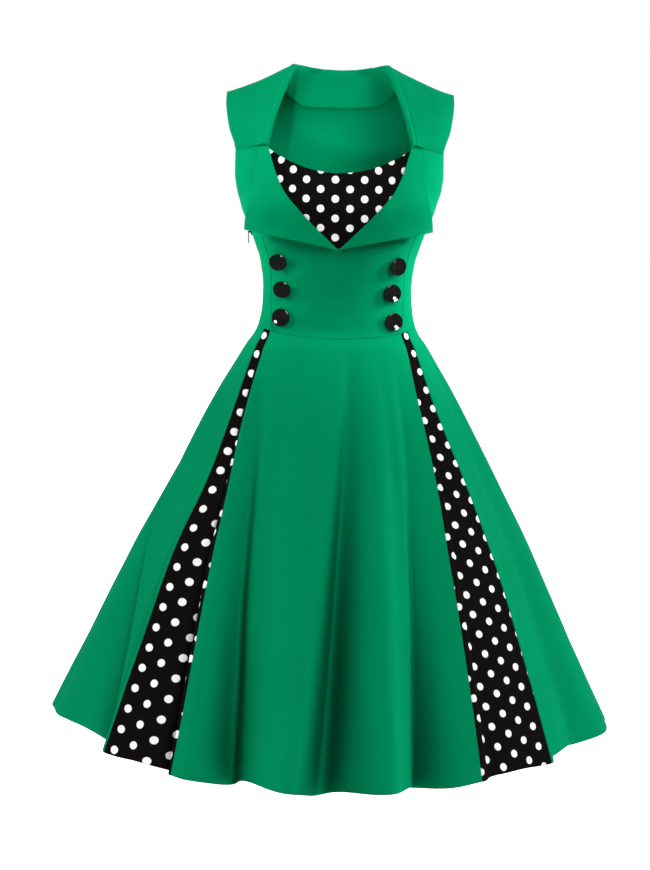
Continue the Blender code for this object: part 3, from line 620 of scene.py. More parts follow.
BACK_CREASES = [
    (-0.060, -0.130, -0.020, -0.190, 0.012, 0.0016),
    (0.066, -0.122, 0.022, -0.176, 0.012, 0.0018),
    (-0.108, -0.262, -0.040, -0.280, 0.009, 0.0014),
    (0.106, -0.255, 0.050, -0.290, 0.009, 0.0016),
    (-0.090, -0.315, 0.000, -0.328, 0.009, 0.0013),
    (0.098, -0.325, 0.030, -0.314, 0.008, 0.0011),
]
column, up = grid_shares(BACK_GRID)
column = column * 2 - 1
bottom = waist_level(math.pi - column * math.pi / 2)
level = bottom * (1 - up)
turn, level = back_place(column + 0 * level, level)
points = torso_point(turn, level)
cloth_piece(
    "bodice_back", cotton_lighter_painted_shade, points, (0.025, 0.0006),
    creases(points, BACK_CREASES),
)

# ---------------------------------------------------------------- dotted insert
# The modesty piece of black cotton printed with white dots, which fills the V. It is sewn to the
# facings behind the lapels, and its top edge is faced and left free.

BLACK = "#0b0808"
DOT_WHITE = "#f6f5f3"
INSERT_DOTS = 0.0275                # down a column of dots, where the cloth is eased in
INSERT_COLUMNS = 0.0212             # between columns, which are half a spacing out of step
DOT_RADIUS = 0.0054
DOT_ABOVE_POINT = 0.0178            # from the V point to the lowest whole dot
DOT_ASIDE = 0.0045                  # of that dot from the V point, to the wearer's right
DOT_BLUR = 0.0004                   # soft edge of the print
PRINT_PAINTED_GLOW = 0.22                   # painted glow of the print, which keeps the dots white in shade
INSERT_DIP = 0.043                  # of its top edge, at the middle
INSERT_DIP_GROWTH = 1.5             # how fast the rows above the point come to dip
INSERT_TOP = -0.072
INSERT_LAP = 0.008                  # how far it reaches behind the lapels' seams
INSERT_GAP = 0.0013
INSERT_GRID = Grid(0.20, 90, 0.16, 60)
INSERT_STITCHED_ROW = 5             # from its top edge, of the points that the stitches follow


def dotted(name, spacing, columns):
    """Black cotton with white dots, a spacing apart down its columns, which are out of step."""
    made, tree = new_material(name)
    where = add(tree, "ShaderNodeTexCoord")
    nearest = []
    for start in (0.0, 0.5):
        cell = add(
            tree, "ShaderNodeVectorMath", operation="MULTIPLY_ADD",
            input_0=where.outputs["UV"], input_1=(0.5 / columns, 1 / spacing, 0),
            input_2=(start + 0.5, start, 0),
        )
        part = add(tree, "ShaderNodeVectorMath", operation="FRACTION", input_0=cell)
        off = add(
            tree, "ShaderNodeVectorMath", operation="SUBTRACT",
            input_0=part, input_1=(0.5, 0.5, 0),
        )
        real = add(
            tree, "ShaderNodeVectorMath", operation="MULTIPLY",
            input_0=off, input_1=(2 * columns, spacing, 0),
        )
        length = add(tree, "ShaderNodeVectorMath", operation="LENGTH", input_0=real)
        nearest.append(length.outputs["Value"])
    distance = add(
        tree, "ShaderNodeMath", operation="MINIMUM", input_0=nearest[0], input_1=nearest[1],
    )
    unprinted = add(
        tree, "ShaderNodeMapRange", interpolation_type="SMOOTHSTEP", Value=distance,
        From_Min=DOT_RADIUS - DOT_BLUR, From_Max=DOT_RADIUS + DOT_BLUR,
    )
    colour = add(
        tree, "ShaderNodeMix", data_type="RGBA", Factor=unprinted,
        input_6=(*linear(DOT_WHITE), 1), input_7=(*linear(BLACK), 1),
    )
    cloth_surface(tree, colour.outputs[2], linear("#8c8c90"), 0.05, 1.0, PRINT_PAINTED_GLOW)
    return made


insert_cotton = dotted("dotted_black_cotton_eased", INSERT_DOTS, INSERT_COLUMNS)

column, share = grid_shares(INSERT_GRID)
column = column * 2 - 1
bottom = INSERT_EDGE[-1][0] - INSERT_LAP
height = bottom + (INSERT_TOP - bottom) * share
half = curve(INSERT_EDGE, height) + INSERT_LAP
sag = INSERT_DIP * share**INSERT_DIP_GROWTH * (1 - column**2)
place_level = level_of(height - sag)
place_turn = turn_at(column * half, place_level)
points = torso_point(place_turn, place_level)
points -= torso_normal(place_turn, place_level) * (FORM_CLOTH + INSERT_GAP)
across = lengths(points, 1)
middle = np.abs(column).argmin()
cut = np.stack([
    across - across[:, middle:middle + 1] + DOT_ASIDE,
    points[..., 2] - V_POINT - DOT_ABOVE_POINT + INSERT_DOTS / 2,
], axis=-1)
insert = cloth_piece(
    "front_insert", insert_cotton, points, (0.02, 0.0004),
    seams="end", cut=cut,
)
insert_line = surface_row(insert, points.shape[1], len(points) - INSERT_STITCHED_ROW)

# ---------------------------------------------------------------- collar
# A wide collar of two layers of the green cotton with a stiffener between them. It stands up
# from the neck seam, rolls over, and falls over the shoulders as far as the armholes.

TURNED_CLOTH = 0.0026               # what the solids allow for two layers and the stiffener
PRESSED_CLOTH = 0.0022              # how thick they are when pressed
TURNED_ROUND = 0.0010               # rounding of the turned edges
TURNED_ANGLE = math.radians(50)
ROLL_RADIUS = 0.0035
ROLL_POINTS = 5
NECK_SEAM_RISE = 0.0007
NECK_GAP = 0.0006                   # between the fronts and the collar's lower layer
COLLAR_EASE = 0.0058                # how far it lies from the form, where its row says no less
COLLAR_ROWS = 240
COLLAR_COLUMNS = 90
FALL_SHARES = (0.06, 0.14, 0.25, 0.38, 0.52, 0.68, 0.84, 1.0)

CollarRow = namedtuple(
    "CollarRow", "neck edge_x edge_level roll_x roll_y roll_z ease", defaults=[COLLAR_EASE]
)
COLLAR_FRONT = [CollarRow(*row) for row in (
    (-0.0780, 0.1505, level_of(-0.085), 0.1052, -0.0845, -0.0735, 0.0019),
    (-0.0700, 0.1515, level_of(-0.0765), 0.1040, -0.0812, -0.0650, 0.0024),
    (-0.0620, 0.1530, level_of(-0.0690), 0.1020, -0.0780, -0.0565, 0.0033),
    (-0.0460, 0.1570, level_of(-0.056), 0.0980, -0.0695, -0.0410, 0.0048),
    (-0.0330, 0.1600, level_of(-0.041), 0.0940, -0.0590, -0.0260, 0.0056),
    (-0.0200, 0.1630, level_of(-0.026), 0.0890, -0.0470, -0.0100),
    (-0.0080, 0.1652, level_of(-0.012), 0.0825, -0.0300, 0.0090),
    (0.0020, 0.1668, 0.80, 0.0760, -0.0110, 0.0290),
    (0.0040, 0.1678, 0.00, 0.0700, 0.0050, 0.0430),
)]
COLLAR_BACK = [CollarRow(*row) for row in (
    (0.990, 0.1670, 0.70, 0.0690, 0.0170, 0.0450),
    (0.942, 0.1640, 1.60, 0.0665, 0.0290, 0.0460),
    (0.858, 0.1600, 2.70, 0.0620, 0.0400, 0.0460),
    (0.752, 0.1565, 3.80, 0.0545, 0.0490, 0.0450),
    (0.629, 0.1500, level_of(-0.088), 0.0440, 0.0560, 0.0435),
    (0.555, 0.1330, level_of(-0.093), 0.0380, 0.0587, 0.0427),
    (0.487, 0.1100, level_of(-0.096), 0.0315, 0.0610, 0.0420),
    (0.300, 0.0560, level_of(-0.100), 0.0160, 0.0645, 0.0410),
    (0.000, 0.0000, level_of(-0.101), 0.0000, 0.0660, 0.0400),
)]
SHOULDER_ROUNDING = 8               # passes that round the collar over the shoulder line
SEWN_DROP = 0.0017                  # how far a turned piece goes down where its end is sewn on
SEWN_REACH = 0.0055                 # how far from that seam it starts to


def collar_path(row, behind):
    """The line of one collar row, from the neck seam over the roll to the outer edge."""
    if behind:
        neck_turn, neck_level = back_place(neck_corner * row.neck, 0.0)
        edge_turn = math.pi - turn_at(row.edge_x, row.edge_level)
    else:
        neck_level = level_of(row.neck)
        neck_turn = seam_turn(NECK_EDGE, neck_level)
        edge_turn = turn_at(row.edge_x, row.edge_level)
    neck = torso_point(neck_turn, neck_level)
    neck_normal = torso_normal(neck_turn, neck_level)
    edge = torso_point(edge_turn, row.edge_level)
    roll = np.array([row.roll_x, row.roll_y, row.roll_z])
    rise = (roll - neck) / np.linalg.norm(roll - neck)
    start = NECK_SEAM_RISE
    if not behind:
        lean = rise @ neck_normal
        start = (NECK_GAP + TURNED_CLOTH / 2 * math.sqrt(max(0.0, 1 - lean**2))) / lean
    out = (edge - roll) - ((edge - roll) @ rise) * rise
    out /= np.linalg.norm(out)
    centre = roll - rise * ROLL_RADIUS
    base = neck + rise * start
    line = [base, (base + centre - out * ROLL_RADIUS) / 2]
    for angle in np.linspace(math.pi, 0, ROLL_POINTS):
        line.append(centre + (out * math.cos(angle) + rise * math.sin(angle)) * ROLL_RADIUS)
    lift = line[-1] - neck - neck_normal * row.ease
    for share in FALL_SHARES:
        turn = neck_turn + (edge_turn - neck_turn) * share
        level = neck_level + (row.edge_level - neck_level) * share
        spot = torso_point(turn, level) + torso_normal(turn, level) * row.ease
        line.append(spot + lift * (1 - share) ** 3)
    return np.array(line)


def refined(grid, rows, columns):
    """The same smooth surface through a grid of points, with more rows and columns."""
    for axis, count in ((0, rows), (1, columns)):
        other = 1 - axis
        knots = lengths(grid, axis).mean(axis=other)
        places = np.interp(np.linspace(0, 1, count), np.linspace(0, 1, len(knots)), knots)
        moved = through(np.moveaxis(grid, axis, 0), knots, places)
        grid = np.moveaxis(moved, 0, axis)
    return grid


def turned_piece(node, points, uneven, from_seam, folds=0.0):
    """A stiffened piece of two layers with rounded edges, drawn down where it is sewn on."""
    normal, turned = normals_of(points)
    depth = folds + unevenness(points, *uneven)
    depth -= SEWN_DROP * np.exp(-((from_seam / SEWN_REACH) ** 2))
    made = grid_mesh(f"{node}_cloth", points + normal * depth[..., None], turned, cotton_lighter_painted_shade)
    layer = made.modifiers.new("layers", "SOLIDIFY")
    layer.thickness = PRESSED_CLOTH
    layer.offset = 0.0
    rounded = made.modifiers.new("turned_edges", "BEVEL")
    rounded.width = TURNED_ROUND
    rounded.segments = 3
    rounded.limit_method = "ANGLE"
    rounded.angle_limit = TURNED_ANGLE
    dress_piece(made, node)


half_collar = [collar_path(row, False) for row in COLLAR_FRONT]
half_collar += [collar_path(row, True) for row in COLLAR_BACK]
whole = np.array(half_collar + [line * (-1, 1, 1) for line in half_collar[-2::-1]])
points = refined(whole, COLLAR_ROWS, COLLAR_COLUMNS)
for _ in range(SHOULDER_ROUNDING):
    points[1:-1] = (2 * points[1:-1] + (points[:-2] + points[2:])) / 4
COLLAR_CREASES = [
    (-0.112, -0.066, -0.148, -0.052, 0.007, 0.0010),
    (0.112, -0.068, 0.146, -0.050, 0.007, 0.0010),
    (-0.090, -0.020, -0.140, -0.004, 0.014, 0.0012),
    (0.092, -0.022, 0.140, -0.010, 0.014, 0.0012),
]
along = lengths(points, 0)
in_front = points[..., 1] < 0.0
turned_piece(
    "collar", points, (0.03, 0.0006),
    np.minimum(along, along[-1:] - along), creases(points, COLLAR_CREASES) * in_front,
)

# ---------------------------------------------------------------- lapels
# Two wide stiffened lapels, folded back along the V and pressed. Each runs from the collar's
# end down to the V point, and its outer corner stands away from the body.

LapelRow = namedtuple("LapelRow", "inner_x inner_z outer_x outer_z")
LAPEL = [
    LapelRow(0.1046, -0.0765, 0.1185, -0.0822),
    LapelRow(0.0975, -0.1000, 0.1212, -0.1030),
    LapelRow(0.0900, -0.1215, 0.1245, -0.1260),
    LapelRow(0.0780, -0.1450, 0.1285, -0.1500),
    LapelRow(0.0580, -0.1690, 0.1325, -0.1670),
    LapelRow(0.0330, -0.1950, 0.1355, -0.1830),
    LapelRow(0.0010, -0.2260, 0.1370, -0.1990),
]
LAPEL_ROWS = 90
LAPEL_COLUMNS = 60
LAPEL_LIFT = 0.0030                 # how far its middle is from the form at the collar
LAPEL_STAND = 0.0030                # how much further it is lower down
LAPEL_SPREAD = 0.026                # how much wider than the form it curves lower down
LAPEL_STIFFNESS = 0.004             # how much further in front the outer corner hangs
LAPEL_STRAIGHTNESS = 0.55           # share of the bust's fall that the lapel doesn't follow
LAPEL_EASE_HEIGHT = 0.090           # how far below the collar it has its whole lift
BUST_ROW = 7                        # the form's fullest row

bust = FormRow(*FORM[BUST_ROW])
places = np.linspace(0, len(LAPEL) - 1, LAPEL_ROWS)
rows = through(np.array(LAPEL), np.arange(len(LAPEL)), places)
share = np.linspace(0, 1, LAPEL_COLUMNS)
x = rows[:, :1] + (rows[:, 2:3] - rows[:, :1]) * share
z = rows[:, 1:2] + (rows[:, 3:4] - rows[:, 1:2]) * share
away = np.clip((LAPEL[0].inner_z - z) / LAPEL_EASE_HEIGHT, 0, 1)
away = away * away * (3 - 2 * away)
_, half_width, depth, _, squareness = form_at(level_of(z))
part = np.minimum(1.0, x / (half_width + LAPEL_SPREAD * away))
depth += LAPEL_STRAIGHTNESS * np.where(z < bust.height, bust.front - depth, 0) * np.sqrt(share)
y = -(depth + LAPEL_LIFT + LAPEL_STAND * away) * (1 - part**squareness) ** (1 / squareness)
y -= LAPEL_STIFFNESS * away * x / LAPEL[-1].outer_x
for side, name in ((1, "left"), (-1, "right")):
    points = np.stack([x * side, y, z], axis=-1)
    turned_piece(f"lapel_{name}", points, (0.018, 0.0004), lengths(points, 0))

# ---------------------------------------------------------------- skirt
# A flared skirt of five green panels with two narrow dotted gores let in at the front. The flare
# hangs in soft flutes that deepen towards the hem, which is turned up and blind stitched.

GORE_DOTS = 0.0292                  # the same print, where the cloth isn't eased in
GORE_COLUMNS = 0.0247
HEM_SIDE = -0.944
HEM_DIP = 0.018                     # how much lower the hem is in front
HEM_DIP_SHARPNESS = 2.5
HEM_LIFT = 0.011                    # how much shorter it hangs at the wearer's right
HEM_LIFT_TURN = -78.0
HEM_LIFT_SPREAD = 20.0
HEM_FALL = 0.40                     # how much lower the hem hangs in a trough, for its depth
FOLD_GROWTH = 1.25                  # how the slow flutes grow with the way down
FLUTE_GROWTH = 0.85                 # and the sharper ones, from where they start
FLUTE_TOP_WIDTH = 0.4               # of a sharper flute where it starts, for its width at the hem

SeamRow = namedtuple("SeamRow", "height gore_right front_right front_left gore_left")
SKIRT_SEAMS = [
    SeamRow(-0.350, -66.2, -58.0, 55.5, 63.2),
    SeamRow(-0.380, -63.9, -55.6, 53.0, 61.0),
    SeamRow(-0.425, -60.6, -53.0, 50.3, 58.6),
    SeamRow(-0.490, -57.3, -49.3, 48.0, 57.5),
    SeamRow(-0.560, -55.9, -45.3, 45.5, 57.8),
    SeamRow(-0.650, -57.5, -42.4, 42.1, 57.3),
    SeamRow(-0.750, -57.0, -40.1, 39.9, 56.5),
    SeamRow(-0.850, -56.2, -38.2, 37.9, 55.2),
    SeamRow(-0.950, -55.4, -36.8, 35.9, 53.8),
]
AT_HEM = SKIRT_SEAMS[-1]

# The slow flutes at the hem: the turn and the depth of each ridge and trough.
FOLDS = np.array([
    (-180, 0.010), (-169, -0.018), (-157, 0.012), (-146, -0.024), (-134, 0.008), (-122, -0.018),
    (-110, 0.010), (-99, -0.022), (-84, 0.004), (-66, -0.024), (-59.5, -0.018), (-55.4, 0.004),
    (-46, -0.009), (-40.5, -0.010), (-36.8, 0.006), (-33, 0.010), (-22, -0.026), (-8, 0.013),
    (1, -0.010), (12.5, 0.013), (21.7, -0.018), (31, 0.009), (35.9, 0.005), (40.5, -0.008),
    (46, -0.008), (53.8, 0.003), (58, -0.014), (65, -0.024), (79, 0.004), (98, -0.020),
    (110, 0.010), (121, -0.024), (134, 0.010), (146, -0.020), (158, 0.012), (169, -0.014),
    (180, 0.010),
])


def wrapped(label):
    """The same turn, between -180 and 180 degrees."""
    return (label + 180) % 360 - 180


def skirt_turn(label, height):
    """Turn at a height of the line that reaches the hem at the turn called label, in degrees."""
    table = np.array(SKIRT_SEAMS)[::-1]
    seams = np.moveaxis(through(table[:, 1:], table[:, 0], height), -1, 0)
    full = 0 * seams[0]
    starts = [-180, -90, *AT_HEM[1:3], 0, *AT_HEM[3:], 90, 180]
    turns = [full - 180, full - 90, *seams[:2], full, *seams[2:], full + 90, full + 180]
    around = wrapped(label)
    result = full - 180
    for low, high, low_turn, high_turn in zip(starts, starts[1:], turns, turns[1:]):
        part = np.clip((around - low) / (high - low), 0, 1)
        result = result + (high_turn - low_turn) * part
    return result + (label - around)


def fold_depth(label):
    """Depth of the flutes at the hem, in smooth waves between the table's rows."""
    around = wrapped(label)
    index = np.clip(np.searchsorted(FOLDS[:, 0], around, side="right") - 1, 0, len(FOLDS) - 2)
    low = FOLDS[index]
    high = FOLDS[index + 1]
    share = (around - low[..., 0]) / (high[..., 0] - low[..., 0])
    return low[..., 1] + (high[..., 1] - low[..., 1]) * (1 - np.cos(math.pi * share)) / 2


def reach(turn, height):
    """How far the form's section at a height reaches in the direction of a turn."""
    _, half_width, front, back, squareness = form_at(level_of(height))
    facing = np.cos(turn)
    depth = np.where(facing > 0, front, back)
    aside = np.abs(np.sin(turn) / half_width) ** squareness
    return (aside + np.abs(facing / depth) ** squareness) ** (-1 / squareness)


# Troughs, or ridges if their depth is negative, that grow from a share of the way down. Each
# has its own width to the wearer's right and left of its line, so most have one steep side.
Flute = namedtuple("Flute", "top hem start right left depth")
FLUTES = [Flute(*row) for row in (
    (-33.0, -28.0, 0.04, 0.017, 0.024, 0.0480),
    (-17.0, -17.0, 0.20, 0.028, 0.034, -0.0115),
    (-4.0, -8.0, 0.15, 0.034, 0.014, -0.0069),
    (6.5, -3.6, 0.02, 0.013, 0.032, 0.0400),
    (18.0, 14.0, 0.05, 0.036, 0.014, -0.0103),
    (29.2, 23.2, 0.06, 0.015, 0.062, 0.0430),
    (-43.0, -39.2, 0.04, 0.024, 0.0060, 0.0300),
    (-47.0, -46.0, 0.20, 0.024, 0.020, -0.0046),
    (39.5, 38.4, 0.10, 0.007, 0.014, 0.0050),
    (48.0, 47.0, 0.25, 0.024, 0.020, -0.0034),
    (-97.0, -60.0, 0.05, 0.036, 0.014, 0.0170),
    (-78.0, -77.0, 0.20, 0.030, 0.026, -0.0069),
    (-97.0, -94.0, 0.15, 0.020, 0.034, 0.0150),
    (62.0, 58.5, 0.10, 0.011, 0.024, 0.0060),
    (74.0, 71.0, 0.05, 0.026, 0.034, 0.0200),
    (-88.0, -87.5, 0.50, 0.012, 0.014, -0.0090),
    (89.0, 88.0, 0.50, 0.014, 0.012, -0.0090),
    (95.0, 93.0, 0.15, 0.034, 0.018, 0.0150),
    (108.0, 111.0, 0.12, 0.026, 0.018, -0.0080),
    (124.0, 120.0, 0.08, 0.016, 0.034, 0.0250),
    (136.0, 133.0, 0.20, 0.020, 0.028, -0.0069),
    (150.0, 146.5, 0.05, 0.030, 0.016, 0.0225),
    (170.0, 168.0, 0.15, 0.014, 0.034, 0.0200),
    (-179.0, -178.0, 0.25, 0.022, 0.022, -0.0057),
    (-172.0, -168.0, 0.12, 0.036, 0.014, 0.0225),
    (-150.0, -147.0, 0.08, 0.014, 0.036, 0.0263),
    (-137.0, -134.0, 0.20, 0.026, 0.018, -0.0069),
    (-118.0, -122.0, 0.06, 0.036, 0.016, 0.0213),
)]


def flutes(label, share, radius):
    """How far the sharper troughs and ridges take the cloth out from its slow flutes."""
    total = 0 * radius
    for row in FLUTES:
        grown = np.clip((share - row.start) / (1 - row.start), 0, 1)
        line = row.top + (row.hem - row.top) * share
        aside = np.radians(wrapped(label - line)) * radius
        width = np.where(aside < 0, row.right, row.left)
        width = width * (FLUTE_TOP_WIDTH + (1 - FLUTE_TOP_WIDTH) * grown)
        total = total - row.depth * grown**FLUTE_GROWTH * np.exp(-((aside / width) ** 2))
    return total


def skirt_point(label, share):
    """Points of the skirt on the lines called label, at shares of the way down them."""
    top = WAIST_SIDE + 0 * label * share
    for _ in range(PASSES):
        turn = np.radians(skirt_turn(label, top))
        top = waist_height(reach(turn, top) * np.sin(turn), np.cos(turn) > 0)
    facing = np.maximum(0.0, np.cos(np.radians(label)))
    lifted = np.exp(-((wrapped(label - HEM_LIFT_TURN) / HEM_LIFT_SPREAD) ** 2))
    hem = HEM_SIDE - HEM_DIP * facing**HEM_DIP_SHARPNESS + HEM_LIFT * lifted
    height = top + (hem - top) * share
    turn = np.radians(skirt_turn(label, height))
    radius = reach(turn, height)
    sharper = flutes(label, share, radius)
    radius += sharper + fold_depth(label) * share**FOLD_GROWTH
    height = height + HEM_FALL * sharper * share
    return np.stack([radius * np.sin(turn), -radius * np.cos(turn), height], axis=-1)


dotted_cotton = dotted("dotted_black_cotton", GORE_DOTS, GORE_COLUMNS)

# Where the print lies on each gore: its first column starts a distance from the outer seam, and
# leans over it, and the cloth is drawn wider or longer where the gore lies flatter or slacker.
Print = namedtuple("Print", "outer start top lean wide long shift")
PRINTS = {
    "skirt_gore_right": Print("first", 0.0180, 0.0110, 0.0, 0.866, 0.954, 0.0044),
    "skirt_gore_left": Print("last", 0.0075, 0.0, 0.02, 1.138, 1.0, 0.0077),
}
PRINT_TOP = 0.12                    # how far down the print's start at the top still tells

SkirtPanel = namedtuple("SkirtPanel", "name first last columns flat area")
SKIRT_PANELS = [
    SkirtPanel("skirt_front", AT_HEM.front_right, AT_HEM.front_left, 120, (0.58, 0.665), 0.276),
    SkirtPanel("skirt_gore_right", AT_HEM.gore_right, AT_HEM.front_right, 44, (0.170, 0.665), 0.0600),
    SkirtPanel("skirt_gore_left", AT_HEM.front_left, AT_HEM.gore_left, 44, (0.130, 0.665), 0.0466),
    SkirtPanel("skirt_side_right", -90.0, AT_HEM.gore_right, 70, (0.28, 0.675), 0.109),
    SkirtPanel("skirt_side_left", AT_HEM.gore_left, 90.0, 70, (0.28, 0.675), 0.111),
    SkirtPanel("skirt_back_left", 90.0, 180.0, 110, (0.69, 0.675), 0.287),
    SkirtPanel("skirt_back_right", 180.0, 270.0, 110, (0.69, 0.675), 0.287),
]
SKIRT_LENGTH = 0.64
SKIRT_ROWS = 150
HEM_STITCHES_UP = 0.022             # from the hem's edge
hem_lines = {"green_cotton": [], "dotted_cotton": []}

share = spaced(SKIRT_LENGTH, SKIRT_ROWS).T
for panel in SKIRT_PANELS:
    slot, material, cut = "green_cotton", green_cotton, None
    ends = skirt_point(np.array([panel.first, panel.last]), share)
    width = np.linalg.norm(ends[:, 1] - ends[:, 0], axis=-1)
    label = panel.first + (panel.last - panel.first) * spaced(width, panel.columns)
    points = skirt_point(label, share)
    down = lengths(points, 0)
    if panel.name in PRINTS:
        slot, material, row = "dotted_cotton", dotted_cotton, PRINTS[panel.name]
        across = lengths(points, 1)
        inward = across if row.outer == "first" else across[:, -1:] - across
        start = row.start - row.lean * down - row.top * np.exp(-down / PRINT_TOP)
        cut = np.stack([(inward - start) * row.wide, down * row.long + row.shift], axis=-1)
    skirt = cloth_piece(
        panel.name, material, points, (0.04, 0.0008 * share),
        cut=cut,
    )
    stitched_row = np.abs(down[:, 0] + HEM_STITCHES_UP - down[-1, 0]).argmin()
    hem_lines[slot].append(surface_row(skirt, points.shape[1], stitched_row))

# ---------------------------------------------------------------- stitches
# Rows of polyester thread, sewn by machine: the blind stitches that hold up the turned hem, which
# show as short pricks, and the row that keeps the facing of the insert's top edge inside.

SHORTEST_STITCH = 0.75              # for the length of the longest
PLY_SPACING = 0.0005

stitch_tree = bpy.data.node_groups.new("row_of_stitches", "GeometryNodeTree")
stitch_tree.is_modifier = True
stitch_inputs = {}
for name, kind in (
    ("Lines", "NodeSocketGeometry"), ("Pitch", "NodeSocketFloat"),
    ("Half Length", "NodeSocketFloat"), ("Thread Radius", "NodeSocketFloat"),
    ("Shortest", "NodeSocketFloat"), ("Seed", "NodeSocketInt"), ("Thread", "NodeSocketMaterial"),
):
    made = stitch_tree.interface.new_socket(name=name, in_out="INPUT", socket_type=kind)
    stitch_inputs[name] = made.identifier
stitch_tree.interface.new_socket(name="Stitches", in_out="OUTPUT", socket_type="NodeSocketGeometry")
given = add(stitch_tree, "NodeGroupInput").outputs
line = add(stitch_tree, "GeometryNodeMeshToCurve", Mesh=given["Lines"])
spots = add(
    stitch_tree, "GeometryNodeCurveToPoints", mode="LENGTH",
    Curve=line.outputs["Curve"], Length=given["Pitch"],
)
along = add(
    stitch_tree, "FunctionNodeAlignRotationToVector", axis="Z",
    Vector=spots.outputs["Tangent"],
)
pull = add(
    stitch_tree, "FunctionNodeRandomValue", data_type="FLOAT",
    input_2=given["Shortest"], input_3=1.0, Seed=given["Seed"],
)
drawn = add(
    stitch_tree, "ShaderNodeMath", operation="MULTIPLY",
    input_0=given["Half Length"], input_1=pull.outputs[1],
)
size = add(
    stitch_tree, "ShaderNodeCombineXYZ",
    X=given["Thread Radius"], Y=given["Thread Radius"], Z=drawn,
)
bead = add(stitch_tree, "GeometryNodeMeshUVSphere", Segments=8, Rings=6, Radius=1.0)
placed = add(
    stitch_tree, "GeometryNodeInstanceOnPoints",
    Points=spots.outputs["Points"], Instance=bead, Rotation=along, Scale=size,
)
real = add(stitch_tree, "GeometryNodeRealizeInstances", Geometry=placed)
sewn = add(stitch_tree, "GeometryNodeSetMaterial", Geometry=real, Material=given["Thread"])
add(stitch_tree, "NodeGroupOutput", Stitches=sewn)


def thread(name, hex_code):
    """Spun polyester thread: two plies that wind round each other."""
    made, tree = new_material(name)
    where = add(tree, "ShaderNodeTexCoord")
    plies = add(
        tree, "ShaderNodeTexWave", bands_direction="DIAGONAL",
        Vector=where.outputs["Object"], Scale=WAVE_PERIOD / PLY_SPACING, Distortion=0.6,
    )
    bump = add(tree, "ShaderNodeBump", Strength=0.5, Distance=0.00005, Height=plies.outputs["Fac"])
    # Painted shade: the thread's colour is darker in the grooves between its plies.
    between = add(tree, "ShaderNodeMapRange", Value=plies.outputs["Fac"], To_Min=0.55)
    colour = add(
        tree, "ShaderNodeMix", data_type="RGBA", blend_type="MULTIPLY",
        Factor=1.0, input_6=(*linear(hex_code), 1), input_7=between,
    )
    surface = add(
        tree, "ShaderNodeBsdfPrincipled", Base_Color=colour.outputs[2], Roughness=0.55, Normal=bump,
    )
    add(tree, "ShaderNodeOutputMaterial", Surface=surface)
    return made


StitchRow = namedtuple("StitchRow", "name lines pitch length colour slot seed")
STITCH_ROWS = [
    # The green hem thread is matching thread, drawn darker than the cloth as painted shade of the
    # dimples that blind stitches make.
    StitchRow("hem_stitches_green", hem_lines["green_cotton"], 0.0065, 0.0016, "#006b46",
              "green_cotton", 11),
    StitchRow("hem_stitches_black", hem_lines["dotted_cotton"], 0.0065, 0.0016, "#1d1a1a",
              "dotted_cotton", 12),
    StitchRow("insert_edge_stitches", [insert_line], 0.0030, 0.0024, "#141212",
              "dotted_cotton", 13),
]
for row in STITCH_ROWS:
    points = np.vstack(row.lines)
    ends = np.cumsum([len(one) for one in row.lines])
    edges = [(k, k + 1) for k in range(len(points) - 1) if k + 1 not in ends]
    mesh = bpy.data.meshes.new(row.name)
    mesh.from_pydata(points.tolist(), edges, [])
    sewing = new_object(row.name, mesh)
    nodes = sewing.modifiers.new("stitches", "NODES")
    nodes.node_group = stitch_tree
    for name, value in (
        ("Pitch", row.pitch), ("Half Length", row.length / 2), ("Thread Radius", THREAD_RADIUS),
        ("Shortest", SHORTEST_STITCH), ("Seed", row.seed),
        ("Thread", thread(f"{row.name}_polyester", row.colour)),
    ):
        nodes[stitch_inputs[name]] = value
    evaluated = sewing.evaluated_get(bpy.context.evaluated_depsgraph_get())
    made = bpy.data.meshes.new_from_object(evaluated)
    sewing.modifiers.remove(nodes)
    made.shade_smooth()
    sewing.data = made
    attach(sewing, "dress")

# ---------------------------------------------------------------- buttons
# Six turned buttons of black polyester resin, polished to a gloss, with a dished face, a raised
# rim and a shank, sewn through the midriff in two rows.

ButtonRow = namedtuple("ButtonRow", "name x z facing")
BUTTONS = [
    ButtonRow("button_right_top", -0.086, -0.243, (-0.15, -0.90, -0.41)),
    ButtonRow("button_right_middle", -0.080, -0.283, (-0.15, -0.90, -0.41)),
    ButtonRow("button_right_low", -0.081, -0.327, (-0.16, -0.97, -0.02)),
    ButtonRow("button_left_top", 0.084, -0.249, (0.52, -0.85, -0.12)),
    ButtonRow("button_left_middle", 0.078, -0.289, (0.28, -0.95, -0.03)),
    ButtonRow("button_left_low", 0.081, -0.331, (0.28, -0.95, -0.03)),
]
# Half section, (radius, height above the cloth), from the centre over the rim to the shank.
BUTTON_SECTION = np.array([
    (0.0, 0.0066), (0.0040, 0.0069), (0.0078, 0.0078), (0.0108, 0.0090), (0.0122, 0.0094),
    (0.0131, 0.0086), (0.0134, 0.0071), (0.0120, 0.0057), (0.0034, 0.0048), (0.0030, 0.0003),
    (0.0, 0.0003),
])
BUTTON_SIDES = 72
BUTTON_RINGS = 60
PIN_RADIUS = 0.0002                 # of the rings next to the centre of the face and the shank
BUTTON_STANDOFF = 0.0012            # of the shank's end from the form
SCUFFS = 900.0                      # to the metre, so about a millimetre apart

black_resin, tree = new_material("polished_black_resin")
where = add(tree, "ShaderNodeTexCoord")
scuffs = add(tree, "ShaderNodeTexNoise", Vector=where.outputs["Object"], Scale=SCUFFS, Detail=2.0)
polish = add(tree, "ShaderNodeMapRange", Value=scuffs.outputs["Fac"], To_Min=0.04, To_Max=0.11)
surface = add(
    tree, "ShaderNodeBsdfPrincipled",
    Base_Color=(*linear("#0b0909"), 1), Roughness=polish, IOR=1.54,
)
add(tree, "ShaderNodeOutputMaterial", Surface=surface)


